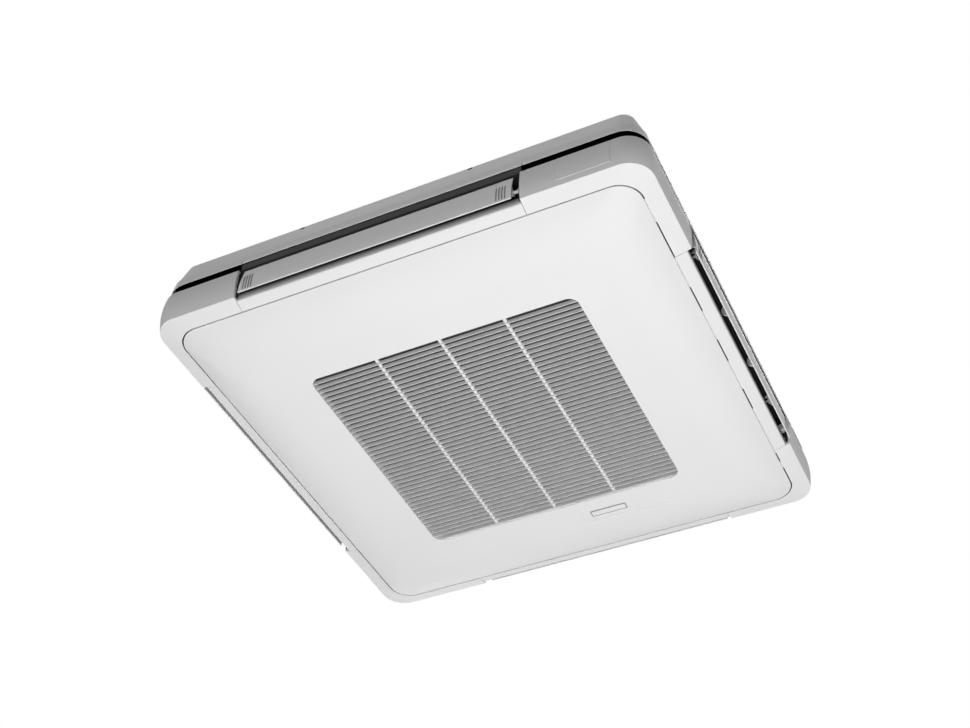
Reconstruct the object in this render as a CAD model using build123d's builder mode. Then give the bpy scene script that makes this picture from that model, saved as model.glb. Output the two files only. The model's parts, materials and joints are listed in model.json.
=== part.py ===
"""Four-way ceiling cassette air conditioner, hung close under the ceiling.

Frame: +Z up, origin at the centre of the four suspension slots on the casing's
top face. The front is the -Y side, where the suction panel is hinged. Lengths
are millimetres.
"""

import os
from collections import namedtuple

from build123d import *

os.makedirs("parts", exist_ok=True)


# ---------------------------------------------------------------- dimensions

# heights, from the casing's top face down to the intake grille
HEIGHT = 198.0
COVER_LOW_Z = -163.0
COVER_BULGE_Z = -133.0
COVER_HIGH_Z = -92.5
CASING_LOW_Z = -70.5
CASING_STEP_Z = -49.5
SEAM_Z = -171.4
PANEL_LOW_Z = -HEIGHT

# half widths and corner radii of the square plan
COVER_LOW = (475.0, 47.0)
COVER_BULGE = (478.0, 48.0)
COVER_HIGH = (474.3, 44.0)
CASING_LOW = (471.0, 46.0)
CASING_STEP_OUT = (467.0, 42.0)
CASING_STEP_IN = (466.0, 41.0)
CASING_TOP = (449.0, 25.0)
RING_SEAM = (445.0, 45.0)
PANEL_RINGS = (
    (SEAM_Z, 442.5, 43.0),
    (-180.5, 425.0, 50.0),
    (-189.5, 402.0, 60.0),
    (-195.5, 374.0, 70.0),
    (PANEL_LOW_Z, 340.0, 80.0),
)

# walls
SHEET = 1.0
COVER_WALL = 2.5
PANEL_WALL = 2.5
FOAM_TOP = 6.0
SEAM_GAP = 0.3

# one air outlet: it reaches further towards the corner with the short cover
OUTLET_SHORT_END = -298.0
OUTLET_LONG_END = 254.0
OUTLET_MID = (OUTLET_SHORT_END + OUTLET_LONG_END) / 2
PIVOT_OUT = 466.0
PIVOT_Z = -131.0
PIN_R = 3.0
STUB_R = 2.5
CLEARANCE = 0.05
POST_PLACES = (-193.0, 213.0)
RIB_PLACES = (-84.0, 60.0)

# fan, bell mouth, coil and drain pan
MOTOR_R = 62.0
MOTOR_LOW_Z = -68.0
SHAFT_R = 5.0
FAN_R = 225.0
FAN_HUB_R = 74.0
BLADE_COUNT = 7
COIL_IN = 250.0
COIL_OUT = 290.0
COIL_HIGH_Z = -8.0
COIL_LOW_Z = -118.0
COIL_END = 190.0
PAN_IN = 232.0
PAN_RIM = 312.0
PAN_OUT = 428.0

# intake grille
GRILLE_HALF = 263.3
GRILLE_R = 20.0
SLAT_PITCH = 12.11
SLAT_COUNT = 43
RIB_X = (-126.8, 0.0, 126.8)

# suction panel hinge and latches
HINGE_Y = -430.0
HINGE_Z = -172.0
HINGE_PIN_R = 1.5
HINGE_X = 200.0
LATCH_X = 246.0

# suspension slots and connections
HANGER_X = 380.0
HANGER_Y = 350.0
SLOT_W = 12.0
SLOT_L = 24.0
PIPE_Y = -413.0
GAS_X = 322.0
DRAIN_X = 361.0
LIQUID_X = 400.0
GROMMET_X = -340.0
GROMMET_Y = 404.0

Quarter = namedtuple("Quarter", "name out along sign")
QUARTERS = (
    Quarter("front", Vector(0, -1, 0), Vector(1, 0, 0), 1),
    Quarter("right", Vector(1, 0, 0), Vector(0, 1, 0), -1),
    Quarter("back", Vector(0, 1, 0), Vector(-1, 0, 0), 1),
    Quarter("left", Vector(-1, 0, 0), Vector(0, -1, 0), -1),
)


# ------------------------------------------------------------------- helpers


def save(piece, name):
    """Label a finished piece and write its STEP file."""
    piece.label = name
    export_step(piece, f"parts/{name}.step")


def section(quarter, place):
    """Plane across one side at a place along it: x points outward, y is up.

    Places run from the outlet's end at the short cover to that at the long one.
    """
    origin = quarter.along * (quarter.sign * place)
    return Plane(origin, x_dir=quarter.out, z_dir=quarter.along * -1)


def face_plane(quarter, out):
    """Plane of one side's face at a distance out: x runs along, y is up."""
    return Plane(quarter.out * out, x_dir=quarter.along, z_dir=quarter.out)


def squares(rings):
    """Loft through rounded squares given as (z, half width, corner radius)."""
    with BuildPart(mode=Mode.PRIVATE) as stack:
        for z, half, radius in rings:
            with BuildSketch(Plane.XY.offset(z)):
                RectangleRounded(2 * half, 2 * half, radius)
        loft()
    return stack.part


def inset(rings, wall, shift=0.0):
    """The same rings one wall further in, and raised by shift."""
    return [(z + shift, half - wall, radius - wall) for z, half, radius in rings]


def band(low_z, high_z, inner, outer):
    """Upright square ring between two (half width, corner radius) outlines."""
    with BuildPart(mode=Mode.PRIVATE) as tube:
        with BuildSketch(Plane.XY.offset(low_z)):
            RectangleRounded(2 * outer[0], 2 * outer[0], outer[1])
            RectangleRounded(2 * inner[0], 2 * inner[0], inner[1], mode=Mode.SUBTRACT)
        extrude(amount=high_z - low_z)
    return tube.part


def across(quarter, points, start, end):
    """Extrude a polygon of (outward, z) points along a side, start to end."""
    with BuildPart(mode=Mode.PRIVATE) as bar:
        with BuildSketch(section(quarter, (start + end) / 2)):
            with BuildLine():
                Polyline(*points, close=True)
            make_face()
        extrude(amount=(end - start) / 2, both=True)
    return bar.part


def rod(plane, radius, length):
    """Round bar from a plane along its normal."""
    with BuildPart(mode=Mode.PRIVATE) as bar:
        with BuildSketch(plane):
            Circle(radius)
        extrude(amount=length)
    return bar.part


def dish(points, wall, side):
    """Revolve a thin wall about Z, along (radius, z) points."""
    with BuildPart(mode=Mode.PRIVATE) as shell:
        with BuildSketch(Plane.XZ):
            with BuildLine():
                Polyline(*points)
                offset(amount=wall, side=side, kind=Kind.INTERSECTION)
            make_face()
        revolve(axis=Axis.Z)
    return shell.part


def tube_path(points, radius, bend):
    """Round tube along straight runs joined by arcs."""
    start = Plane(points[0], z_dir=Vector(*points[1]) - Vector(*points[0]))
    with BuildPart(mode=Mode.PRIVATE) as tube:
        with BuildLine() as route:
            FilletPolyline(*points, radius=bend)
        with BuildSketch(start):
            Circle(radius)
        sweep(path=route.line)
    return tube.part


# ---------------------------------------------------------------- top casing

# pressed steel lid in two tapered tiers with a step between them and a
# turned-in lower lip, notched under the top edge and slit at the outlets' ends
LOWER_TIER = ((CASING_LOW_Z, *CASING_LOW), (CASING_STEP_Z, *CASING_STEP_OUT))
UPPER_TIER = ((CASING_STEP_Z, *CASING_STEP_IN), (0.0, *CASING_TOP))
LIP_DEPTH = 2.6
NOTCH_OFFSET = 169.0
NOTCH_Z = -4.5
NOTCH = (9.0, 6.5)
SLIT = (1.2, 8.0)
PIPE_HOLE = (118.0, 48.0)
GROMMET_HOLE_R = 14.0

with BuildPart() as top_casing:
    add(squares(LOWER_TIER))
    add(squares(UPPER_TIER))
    add(squares(inset(LOWER_TIER, SHEET, -SHEET)), mode=Mode.SUBTRACT)
    add(squares(inset(UPPER_TIER, SHEET, -SHEET)), mode=Mode.SUBTRACT)
    lip_outer = (CASING_LOW[0] - SHEET / 2, CASING_LOW[1] - SHEET / 2)
    lip_inner = (CASING_LOW[0] - LIP_DEPTH, CASING_LOW[1] - LIP_DEPTH)
    add(band(CASING_LOW_Z, CASING_LOW_Z + SHEET, lip_inner, lip_outer))
    with BuildSketch(Plane.XY.offset(-SHEET)):
        with GridLocations(2 * HANGER_X, 2 * HANGER_Y, 2, 2):
            SlotOverall(SLOT_L, SLOT_W)
        with Locations((DRAIN_X, PIPE_Y)):
            RectangleRounded(*PIPE_HOLE, 8)
        with Locations((GROMMET_X, GROMMET_Y)):
            Circle(GROMMET_HOLE_R)
    extrude(amount=SHEET, mode=Mode.SUBTRACT)
    for quarter in QUARTERS:
        with BuildSketch(face_plane(quarter, CASING_TOP[0] - 10)):
            for shift in (-NOTCH_OFFSET, NOTCH_OFFSET):
                with Locations((quarter.sign * (OUTLET_MID + shift), NOTCH_Z)):
                    Rectangle(*NOTCH)
        extrude(amount=20, mode=Mode.SUBTRACT)
        with BuildSketch(face_plane(quarter, CASING_LOW[0] - 10)):
            for place in (OUTLET_SHORT_END, OUTLET_LONG_END + 2):
                with Locations((quarter.sign * place, CASING_LOW_Z + SLIT[1] / 2 - 0.5)):
                    Rectangle(*SLIT)
        extrude(amount=20, mode=Mode.SUBTRACT)
save(top_casing.part, "top_casing")


# --------------------------------------------------------------- foam liner

# expanded foam under the lid: a plate with its corners cut off, and four
# ramps that turn the air down towards the outlets
FOAM_HALF = 440.0
FOAM_DIAMOND = 640.0 * 2**0.5
FOAM_LOW_Z = -SHEET - FOAM_TOP
FOAM_RAMP = (
    (308, FOAM_LOW_Z + 1),
    (324, FOAM_LOW_Z + 1),
    (352, -27),
    (402, -64),
    (462, -65),
    (462, -71),
    (400, -70.5),
    (348, -32),
    (316, FOAM_LOW_Z - 2),
    (308, FOAM_LOW_Z - 2),
)

with BuildPart() as foam_liner:
    with BuildSketch(Plane.XY.offset(FOAM_LOW_Z)):
        Rectangle(2 * FOAM_HALF, 2 * FOAM_HALF)
        Rectangle(FOAM_DIAMOND, FOAM_DIAMOND, rotation=45, mode=Mode.INTERSECT)
        Circle(MOTOR_R + 12, mode=Mode.SUBTRACT)
    extrude(amount=FOAM_TOP)
    for quarter in QUARTERS:
        add(across(quarter, FOAM_RAMP, -238, 238))
save(foam_liner.part, "foam_liner")


# ---------------------------------------------------------- hanger brackets

# four welded steel angles under the lid's corners, each with a bolt slot
HANGER_PLATE = (70.0, 60.0)
HANGER_SHEET = 2.5
HANGER_LEG = 42.0

with BuildPart() as hanger_brackets:
    with BuildSketch(Plane.XY.offset(-SHEET - HANGER_SHEET)):
        with GridLocations(2 * HANGER_X, 2 * HANGER_Y, 2, 2):
            Rectangle(*HANGER_PLATE)
            SlotOverall(SLOT_L, SLOT_W, mode=Mode.SUBTRACT)
    extrude(amount=HANGER_SHEET)
    with BuildSketch(Plane.XY.offset(-SHEET - HANGER_LEG)):
        with GridLocations(2 * HANGER_X + HANGER_PLATE[0] - HANGER_SHEET, 2 * HANGER_Y, 2, 2):
            Rectangle(HANGER_SHEET, HANGER_PLATE[1])
    extrude(amount=HANGER_LEG)
save(hanger_brackets.part, "hanger_brackets")


# ---------------------------------------------------------- corner shields

# dark sheet walls inside the four corners, seen through the shadow gap
SHIELD = (440.0, 32.0)
SHIELD_SHEET = 1.2
SHIELD_Z = (-158.0, -12.0)
SHIELD_PORT = (104.0, 54.0)
SHIELD_PORT_Z = -122.0
CORNERS = (
    ("front_left", -1, -1, -OUTLET_SHORT_END),
    ("front_right", 1, -1, OUTLET_LONG_END),
    ("back_right", 1, 1, -OUTLET_SHORT_END),
    ("back_left", -1, 1, OUTLET_LONG_END),
)


def corner_block(x_sign, y_sign, edge, depth=250.0):
    """Upright square block from an inner edge outward past a corner."""
    with BuildPart(mode=Mode.PRIVATE) as block:
        with BuildSketch(Plane.XY.offset(-HEIGHT)):
            with Locations((x_sign * (edge + depth / 2), y_sign * (edge + depth / 2))):
                Rectangle(depth, depth)
        extrude(amount=HEIGHT)
    return block.part


shield_inner = (SHIELD[0] - SHIELD_SHEET, SHIELD[1] - SHIELD_SHEET)
shield_ring = band(*SHIELD_Z, shield_inner, SHIELD)

with BuildPart() as corner_shields:
    for name, x_sign, y_sign, edge in CORNERS:
        block = corner_block(x_sign, y_sign, edge + SEAM_GAP)
        add(shield_ring.intersect(block))
    with BuildSketch(Plane.XZ.offset(SHIELD[0] - 10)):
        with Locations((DRAIN_X, SHIELD_PORT_Z)):
            Rectangle(*SHIELD_PORT)
    extrude(amount=20, mode=Mode.SUBTRACT)
save(corner_shields.part, "corner_shields")


# ------------------------------------------------------------ motor and fan

# fan motor under the lid's centre, on four rubber bushes
BUSH_CIRCLE_R = 46.0
BUSH_R = 9.0
SHAFT_TOP_Z = -30.0
SHAFT_LOW_Z = -98.0
SPIGOT_R = 16.0
SPIGOT = 4.0

with BuildPart() as fan_motor:
    with BuildSketch(Plane.XY.offset(MOTOR_LOW_Z)):
        Circle(MOTOR_R)
    extrude(amount=FOAM_LOW_Z - MOTOR_LOW_Z)
    fillet(fan_motor.edges().group_by(Axis.Z)[0], 6)
    with BuildSketch(Plane.XY.offset(MOTOR_LOW_Z - SPIGOT)):
        Circle(SPIGOT_R)
    extrude(amount=SPIGOT)
    with BuildSketch(Plane.XY.offset(MOTOR_LOW_Z - SPIGOT)):
        Circle(SHAFT_R + CLEARANCE)
    extrude(amount=SHAFT_TOP_Z - MOTOR_LOW_Z + 2 * SPIGOT, mode=Mode.SUBTRACT)
save(fan_motor.part, "fan_motor")

with BuildPart() as motor_bushes:
    with BuildSketch(Plane.XY.offset(FOAM_LOW_Z)):
        with PolarLocations(BUSH_CIRCLE_R, 4, start_angle=45):
            Circle(BUSH_R)
    extrude(amount=FOAM_TOP)
save(motor_bushes.part, "motor_bushes")

with BuildPart() as motor_shaft:
    add(rod(Plane.XY.offset(SHAFT_LOW_Z), SHAFT_R, SHAFT_TOP_Z - SHAFT_LOW_Z))
    chamfer(motor_shaft.edges().group_by(Axis.Z)[0], 0.8)
save(motor_shaft.part, "motor_shaft")

# backward-curved turbo fan: a back plate dished round the motor, blades and
# a curved shroud ring whose inlet takes the bell mouth
BACK_Z = -28.5
FAN_WALL = 2.5
HUB = ((FAN_R, BACK_Z), (FAN_HUB_R, BACK_Z), (FAN_HUB_R, -60), (58, -79), (9, -81))
SHROUD = ((FAN_R, -90.5), (190, -98), (171, -106.5), (164, -113), (164, -119))
BLADE_SPACE = (
    (140, BACK_Z + 1),
    (FAN_R - 0.5, BACK_Z + 1),
    (FAN_R - 0.5, -91.5),
    (191, -99),
    (172, -107),
    (166, -103),
    (140, -103),
)
BLADE_IN = (146.0, 0.0)
BLADE_BELLY = (186.0, -34.0)
BLADE_OUT = (205.0, -90.0)
BLADE_WALL = 3.0
BOSS_R = 13.0
BOSS_Z = -93.0

with BuildPart() as fan_space:
    with BuildSketch(Plane.XZ):
        with BuildLine():
            Polyline(*BLADE_SPACE, close=True)
        make_face()
    revolve(axis=Axis.Z)

with BuildPart() as fan_blades:
    with BuildSketch(Plane.XY.offset(-120)):
        with PolarLocations(0, BLADE_COUNT):
            with BuildLine():
                ThreePointArc(BLADE_IN, BLADE_BELLY, BLADE_OUT)
                offset(amount=BLADE_WALL, side=Side.LEFT)
            make_face()
    extrude(amount=100)
    add(fan_space.part, mode=Mode.INTERSECT)

with BuildPart() as turbo_fan:
    add(dish(HUB, FAN_WALL, Side.RIGHT))
    add(dish(SHROUD, FAN_WALL, Side.RIGHT))
    add(fan_blades.part)
    add(rod(Plane.XY.offset(BOSS_Z), BOSS_R, 15))
    add(rod(Plane.XY.offset(BOSS_Z - 1), SHAFT_R, 40), mode=Mode.SUBTRACT)
save(turbo_fan.part, "turbo_fan")

with BuildPart() as fan_nut:
    with BuildSketch(Plane.XY.offset(BOSS_Z - 5)):
        RegularPolygon(8, 6)
        Circle(SHAFT_R, mode=Mode.SUBTRACT)
    extrude(amount=5)
save(fan_nut.part, "fan_nut")

# bell mouth: square plate between the drain pan's inner walls, with a rolled throat
BELL_PLATE_Z = -136.0
BELL_WALL = 2.5
BELL = ((222, BELL_PLATE_Z), (186, -133), (166, -126), (157, -116), (156, -108))

with BuildPart() as bell_mouth:
    add(dish(BELL, BELL_WALL, Side.LEFT))
    with BuildSketch(Plane.XY.offset(BELL_PLATE_Z - BELL_WALL)):
        RectangleRounded(2 * PAN_IN - 1, 2 * PAN_IN - 1, 12)
        Circle(BELL[0][0] - 1, mode=Mode.SUBTRACT)
    extrude(amount=BELL_WALL)
save(bell_mouth.part, "bell_mouth")


# -------------------------------------------------------------------- coil

# finned ring round the fan, open at the front right corner where pipes leave
COIL_R_OUT = 70.0
COIL_R_IN = 30.0
FIN_FACE = 2.0
END_SHEET = 1.5
TUBE_R = 3.5
TUBE_ROWS = (262.0, 278.0)
TUBE_TOPS_Z = (-24.0, -66.0)
BEND_PITCH = 20.0

with BuildPart() as heat_exchanger:
    add(band(COIL_LOW_Z, COIL_HIGH_Z, (COIL_IN, COIL_R_IN), (COIL_OUT, COIL_R_OUT)))
    core_in = (COIL_IN + FIN_FACE, COIL_R_IN + FIN_FACE)
    core_out = (COIL_OUT - FIN_FACE, COIL_R_OUT - FIN_FACE)
    core = band(COIL_LOW_Z + FIN_FACE, COIL_HIGH_Z - FIN_FACE, core_in, core_out)
    add(core, mode=Mode.SUBTRACT)
    with BuildSketch(Plane.XY.offset(COIL_LOW_Z)):
        with Locations((COIL_END, -COIL_END)):
            Rectangle(300, 300, align=(Align.MIN, Align.MAX))
    extrude(amount=COIL_HIGH_Z - COIL_LOW_Z, mode=Mode.SUBTRACT)
save(heat_exchanger.part, "heat_exchanger")

with BuildPart() as coil_end_plates:
    with BuildSketch(Plane.XY.offset(COIL_LOW_Z)):
        with Locations((COIL_END, -(COIL_IN + COIL_OUT) / 2)):
            Rectangle(END_SHEET, COIL_OUT - COIL_IN, align=(Align.MIN, Align.CENTER))
        with Locations(((COIL_IN + COIL_OUT) / 2, -COIL_END)):
            Rectangle(COIL_OUT - COIL_IN, END_SHEET, align=(Align.CENTER, Align.MAX))
    extrude(amount=COIL_HIGH_Z - COIL_LOW_Z)
save(coil_end_plates.part, "coil_end_plates")

# hairpin bends between the tubes of one row, outside each end plate
with BuildPart() as coil_bends:
    for row in TUBE_ROWS:
        for top_z in TUBE_TOPS_Z:
            middle_z = top_z - BEND_PITCH / 2
            for origin, x_dir, z_dir in (
                ((COIL_END + END_SHEET, -row, middle_z), (0, 0, 1), (-1, 0, 0)),
                ((row, -COIL_END - END_SHEET, middle_z), (0, 0, 1), (0, 1, 0)),
            ):
                start = Plane(origin, x_dir=x_dir, z_dir=z_dir)
                with BuildSketch(start):
                    with Locations((BEND_PITCH / 2, 0)):
                        Circle(TUBE_R)
                revolve(axis=Axis(origin, start.y_dir), revolution_arc=180)
save(coil_bends.part, "coil_bends")


# --------------------------------------------------------------- drain pan

# moulded tray: a trough under the coil and a slope down to each outlet's lip
PAN_WALL = 4.0
PAN_TOP_Z = -112.0
TROUGH_Z = -126.0
PAN_LIP_Z = -139.4
PAN_FOOT_Z = -150.0
SLOPE = ((PAN_LIP_Z, PAN_OUT, 60.0), (PAN_TOP_Z, PAN_RIM, 70.0))
SLOPE_UNDER = ((PAN_LIP_Z - 5, PAN_OUT - 4, 56.0), (PAN_TOP_Z - 5, PAN_RIM - 4, 66.0))
TROUGH_OUT = (301.0, 72.0)

with BuildPart() as drain_pan:
    add(squares(SLOPE))
    add(squares(SLOPE_UNDER), mode=Mode.SUBTRACT)
    with BuildSketch(Plane.XY.offset(PAN_TOP_Z)):
        RectangleRounded(2 * TROUGH_OUT[0], 2 * TROUGH_OUT[0], TROUGH_OUT[1])
    extrude(amount=-40, mode=Mode.SUBTRACT)
    add(band(PAN_FOOT_Z, PAN_LIP_Z, (PAN_OUT - 4, 56.0), (PAN_OUT, 60.0)))
    trough_wall = (TROUGH_OUT[0] + 7, TROUGH_OUT[1] + 7)
    add(band(TROUGH_Z, PAN_TOP_Z, TROUGH_OUT, trough_wall))
    add(band(TROUGH_Z - PAN_WALL, TROUGH_Z, (PAN_IN, 12.0), trough_wall))
    add(band(-140, -106, (PAN_IN, 12.0), (PAN_IN + PAN_WALL, 16.0)))
save(drain_pan.part, "drain_pan")


# -------------------------------------------------- drain pump and float

PUMP_XY = (262.0, -230.0)
PUMP_R = 17.0
HOSE_Z = -76.0
FLOAT_XY = (238.0, -290.0)

with BuildPart() as drain_pump:
    with BuildSketch(Plane.XY.offset(-104)):
        with Locations(PUMP_XY):
            Circle(PUMP_R)
    extrude(amount=40)
    with BuildSketch(Plane.XY.offset(-64)):
        with Locations(PUMP_XY):
            Circle(PUMP_R - 4)
    extrude(amount=22)
    with BuildSketch(Plane.XY.offset(-124)):
        with Locations(PUMP_XY):
            Circle(8)
    extrude(amount=20)
    spout = Plane((PUMP_XY[0], PUMP_XY[1] - PUMP_R + 3, HOSE_Z), z_dir=(0, -1, 0))
    add(rod(spout, 6, 9))
save(drain_pump.part, "drain_pump")

with BuildPart() as float_stem:
    with BuildSketch(Plane.XY.offset(-124)):
        with Locations(FLOAT_XY):
            Circle(2.5)
    extrude(amount=36)
    with BuildSketch(Plane.XY.offset(-88)):
        with Locations(FLOAT_XY):
            RectangleRounded(22, 16, 2)
    extrude(amount=8)
    with BuildSketch(Plane.XY.offset(-126)):
        with Locations(FLOAT_XY):
            Circle(6)
    extrude(amount=2)
save(float_stem.part, "float_stem")

with BuildPart() as float_ring:
    with BuildSketch(Plane.XY.offset(-123.7)):
        with Locations(FLOAT_XY):
            Circle(9)
            Circle(2.5 + CLEARANCE, mode=Mode.SUBTRACT)
    extrude(amount=14)
save(float_ring.part, "float_ring")


# --------------------------------------------- pipes, unions and drain socket

GAS_Z = -96.0
LIQUID_Z = -60.0
UNION_Z = -46.0
SPIGOT_Z = -32.0
SPIGOT_TOP_Z = -12.0
GAS_R = 7.94
LIQUID_R = 4.76
GAS_UNION_R = 11.1
LIQUID_UNION_R = 7.95
HOSE_R = 8.0
SOCKET_R = 13.0
SOCKET_BORE_R = 10.0
SOCKET_LOW_Z = -52.0

gas_route = (
    (COIL_END + END_SHEET, -270, GAS_Z),
    (GAS_X, -270, GAS_Z),
    (GAS_X, PIPE_Y, GAS_Z),
    (GAS_X, PIPE_Y, UNION_Z),
)
gas_pipe = tube_path(gas_route, GAS_R, 24)
save(gas_pipe, "gas_pipe")

liquid_route = (
    (COIL_END + END_SHEET, -284, LIQUID_Z),
    (LIQUID_X, -284, LIQUID_Z),
    (LIQUID_X, PIPE_Y, LIQUID_Z),
    (LIQUID_X, PIPE_Y, UNION_Z),
)
liquid_pipe = tube_path(liquid_route, LIQUID_R, 13)
save(liquid_pipe, "liquid_pipe")

for name, x, spigot_r in (
    ("gas_union", GAS_X, GAS_UNION_R),
    ("liquid_union", LIQUID_X, LIQUID_UNION_R),
):
    with BuildPart() as union_piece:
        with BuildSketch(Plane.XY.offset(UNION_Z)):
            with Locations((x, PIPE_Y)):
                RegularPolygon(spigot_r + 3.2, 6)
        extrude(amount=SPIGOT_Z - UNION_Z)
        with BuildSketch(Plane.XY.offset(SPIGOT_Z)):
            with Locations((x, PIPE_Y)):
                Circle(spigot_r)
        extrude(amount=SPIGOT_TOP_Z - SPIGOT_Z)
        with BuildSketch(Plane.XY.offset(UNION_Z + 4)):
            with Locations((x, PIPE_Y)):
                Circle(spigot_r - 4)
        extrude(amount=SPIGOT_TOP_Z - UNION_Z, mode=Mode.SUBTRACT)
    save(union_piece.part, name)

hose_route = (
    (PUMP_XY[0], PUMP_XY[1] - PUMP_R - 6, HOSE_Z),
    (PUMP_XY[0], -308, HOSE_Z),
    (DRAIN_X, -308, HOSE_Z),
    (DRAIN_X, PIPE_Y, HOSE_Z),
    (DRAIN_X, PIPE_Y, SOCKET_LOW_Z),
)
drain_hose = tube_path(hose_route, HOSE_R, 18)
save(drain_hose, "drain_hose")

with BuildPart() as drain_socket:
    with BuildSketch(Plane.XY.offset(SOCKET_LOW_Z)):
        with Locations((DRAIN_X, PIPE_Y)):
            Circle(SOCKET_R)
    extrude(amount=SPIGOT_TOP_Z - SOCKET_LOW_Z)
    with BuildSketch(Plane.XY.offset(SOCKET_LOW_Z + 6)):
        with Locations((DRAIN_X, PIPE_Y)):
            Circle(SOCKET_BORE_R)
    extrude(amount=SPIGOT_TOP_Z - SOCKET_LOW_Z - 6, mode=Mode.SUBTRACT)
save(drain_socket.part, "drain_socket")

# rubber grommet for the supply and control cables, in the lid
GROMMET_BORE_R = 10.0

with BuildPart() as cable_grommet:
    with BuildSketch(Plane.XY.offset(-SHEET)):
        with Locations((GROMMET_X, GROMMET_Y)):
            Circle(GROMMET_HOLE_R)
    extrude(amount=SHEET)
    with BuildSketch(Plane.XY.offset(-SHEET - 5)):
        with Locations((GROMMET_X, GROMMET_Y)):
            Circle(GROMMET_HOLE_R + 3)
    extrude(amount=5)
    with BuildSketch(Plane.XY.offset(-SHEET - 5)):
        with Locations((GROMMET_X, GROMMET_Y)):
            Circle(GROMMET_BORE_R)
    extrude(amount=SHEET + 5, mode=Mode.SUBTRACT)
save(cable_grommet.part, "cable_grommet")


# ------------------------------------------------------------- control box

BOX_X = (274.0, 382.0)
BOX_HALF_Y = 190.0
BOX_TOP_Z = -152.0
BOX_LOW_Z = -176.0
BOX_SHEET = 1.0
box_mid = (sum(BOX_X) / 2, 0)
box_size = (BOX_X[1] - BOX_X[0], 2 * BOX_HALF_Y)

with BuildPart() as control_box:
    with BuildSketch(Plane.XY.offset(BOX_LOW_Z)):
        with Locations(box_mid):
            Rectangle(*box_size)
    extrude(amount=BOX_TOP_Z - BOX_LOW_Z)
    with BuildSketch(Plane.XY.offset(BOX_LOW_Z)):
        with Locations(box_mid):
            Rectangle(box_size[0] - 2 * BOX_SHEET, box_size[1] - 2 * BOX_SHEET)
    extrude(amount=BOX_TOP_Z - BOX_LOW_Z - BOX_SHEET, mode=Mode.SUBTRACT)
    with BuildSketch(Plane.XY.offset(BOX_TOP_Z)):
        with Locations((box_mid[0], -150), (box_mid[0], 150)):
            Rectangle(14, 20)
    extrude(amount=21)
save(control_box.part, "control_box")

with BuildPart() as control_box_lid:
    with BuildSketch(Plane.XY.offset(BOX_LOW_Z - BOX_SHEET)):
        with Locations(box_mid):
            Rectangle(*box_size)
            with GridLocations(box_size[0] - 16, box_size[1] - 16, 2, 2):
                Circle(2.0, mode=Mode.SUBTRACT)
    extrude(amount=BOX_SHEET)
save(control_box_lid.part, "control_box_lid")

with BuildPart() as circuit_board:
    with BuildSketch(Plane.XY.offset(BOX_TOP_Z - 5)):
        with Locations((box_mid[0], -50)):
            Rectangle(92, 230)
    extrude(amount=1.6)
    with BuildSketch(Plane.XY.offset(BOX_TOP_Z - 5)):
        with Locations((box_mid[0] - 20, -90), (box_mid[0] + 18, -20)):
            Rectangle(28, 36)
        with Locations((box_mid[0] + 22, -120), (box_mid[0] - 26, 10)):
            Circle(9)
    extrude(amount=-12)
    with BuildSketch(Plane.XY.offset(BOX_TOP_Z - 5 + 1.6)):
        with Locations((box_mid[0], -50)):
            with GridLocations(80, 216, 2, 2):
                Circle(3)
    extrude(amount=2.4)
save(circuit_board.part, "circuit_board")

with BuildPart() as terminal_block:
    with BuildSketch(Plane.XY.offset(BOX_TOP_Z - BOX_SHEET - 16)):
        with Locations((box_mid[0], 130)):
            Rectangle(26, 84)
    extrude(amount=16)
    with BuildSketch(Plane.XY.offset(BOX_TOP_Z - BOX_SHEET - 16)):
        with Locations((box_mid[0], 130)):
            with GridLocations(13, 16, 2, 5):
                Rectangle(10, 12)
    extrude(amount=6, mode=Mode.SUBTRACT)
save(terminal_block.part, "terminal_block")

with BuildPart() as lid_screws:
    with BuildSketch(Plane.XY.offset(BOX_LOW_Z - BOX_SHEET - 2.2)):
        with Locations(box_mid):
            with GridLocations(box_size[0] - 16, box_size[1] - 16, 2, 2):
                Circle(3.8)
    extrude(amount=2.2)
    with BuildSketch(Plane.XY.offset(BOX_LOW_Z - BOX_SHEET - 2.2)):
        with Locations(box_mid):
            with GridLocations(box_size[0] - 16, box_size[1] - 16, 2, 2):
                Circle(1.9)
    extrude(amount=8)
save(lid_screws.part, "lid_screws")


# ------------------------------------------- outlet frames, lips and flaps

# dark duct ceiling behind each flap, a hollow bar with two end plates; its
# front closes the slot under the casing's lip
FRAME_BAR = (
    (395, -73),
    (468.6, -73),
    (468.6, -90.5),
    (452, -94.5),
    (424, -86),
    (395, -76.5),
)
FRAME_WALL = 2.0
END_PLATE = (
    (395, -73),
    (468.6, -73),
    (468.6, -90.5),
    (472.5, -104),
    (472.5, -158),
    (468.6, -160.5),
    (467.8, -147),
    (461, -140.8),
    (432, -138),
    (395, -128),
)
PLATE_WALL = 2.5
BUSH_OUT_R = 5.0

# white lower lip: bottom skin from the seam, rounded nose, duct floor
LIP = (
    (445, -171.4),
    (465.3, -165.7),
    (466.7, -164),
    (465.8, -147.5),
    (460.5, -142.6),
    (432, -139),
    (429, -138.4),
    (429, -140.8),
    (432, -141.4),
    (459.6, -144.9),
    (463.4, -148.6),
    (464.3, -163.3),
    (447, -168.2),
    (447, -166.5),
    (445, -166.5),
)
POST = ((444, -142.2), (458, -143.6), (468.5, -134), (466, -127), (462, -128))

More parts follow.
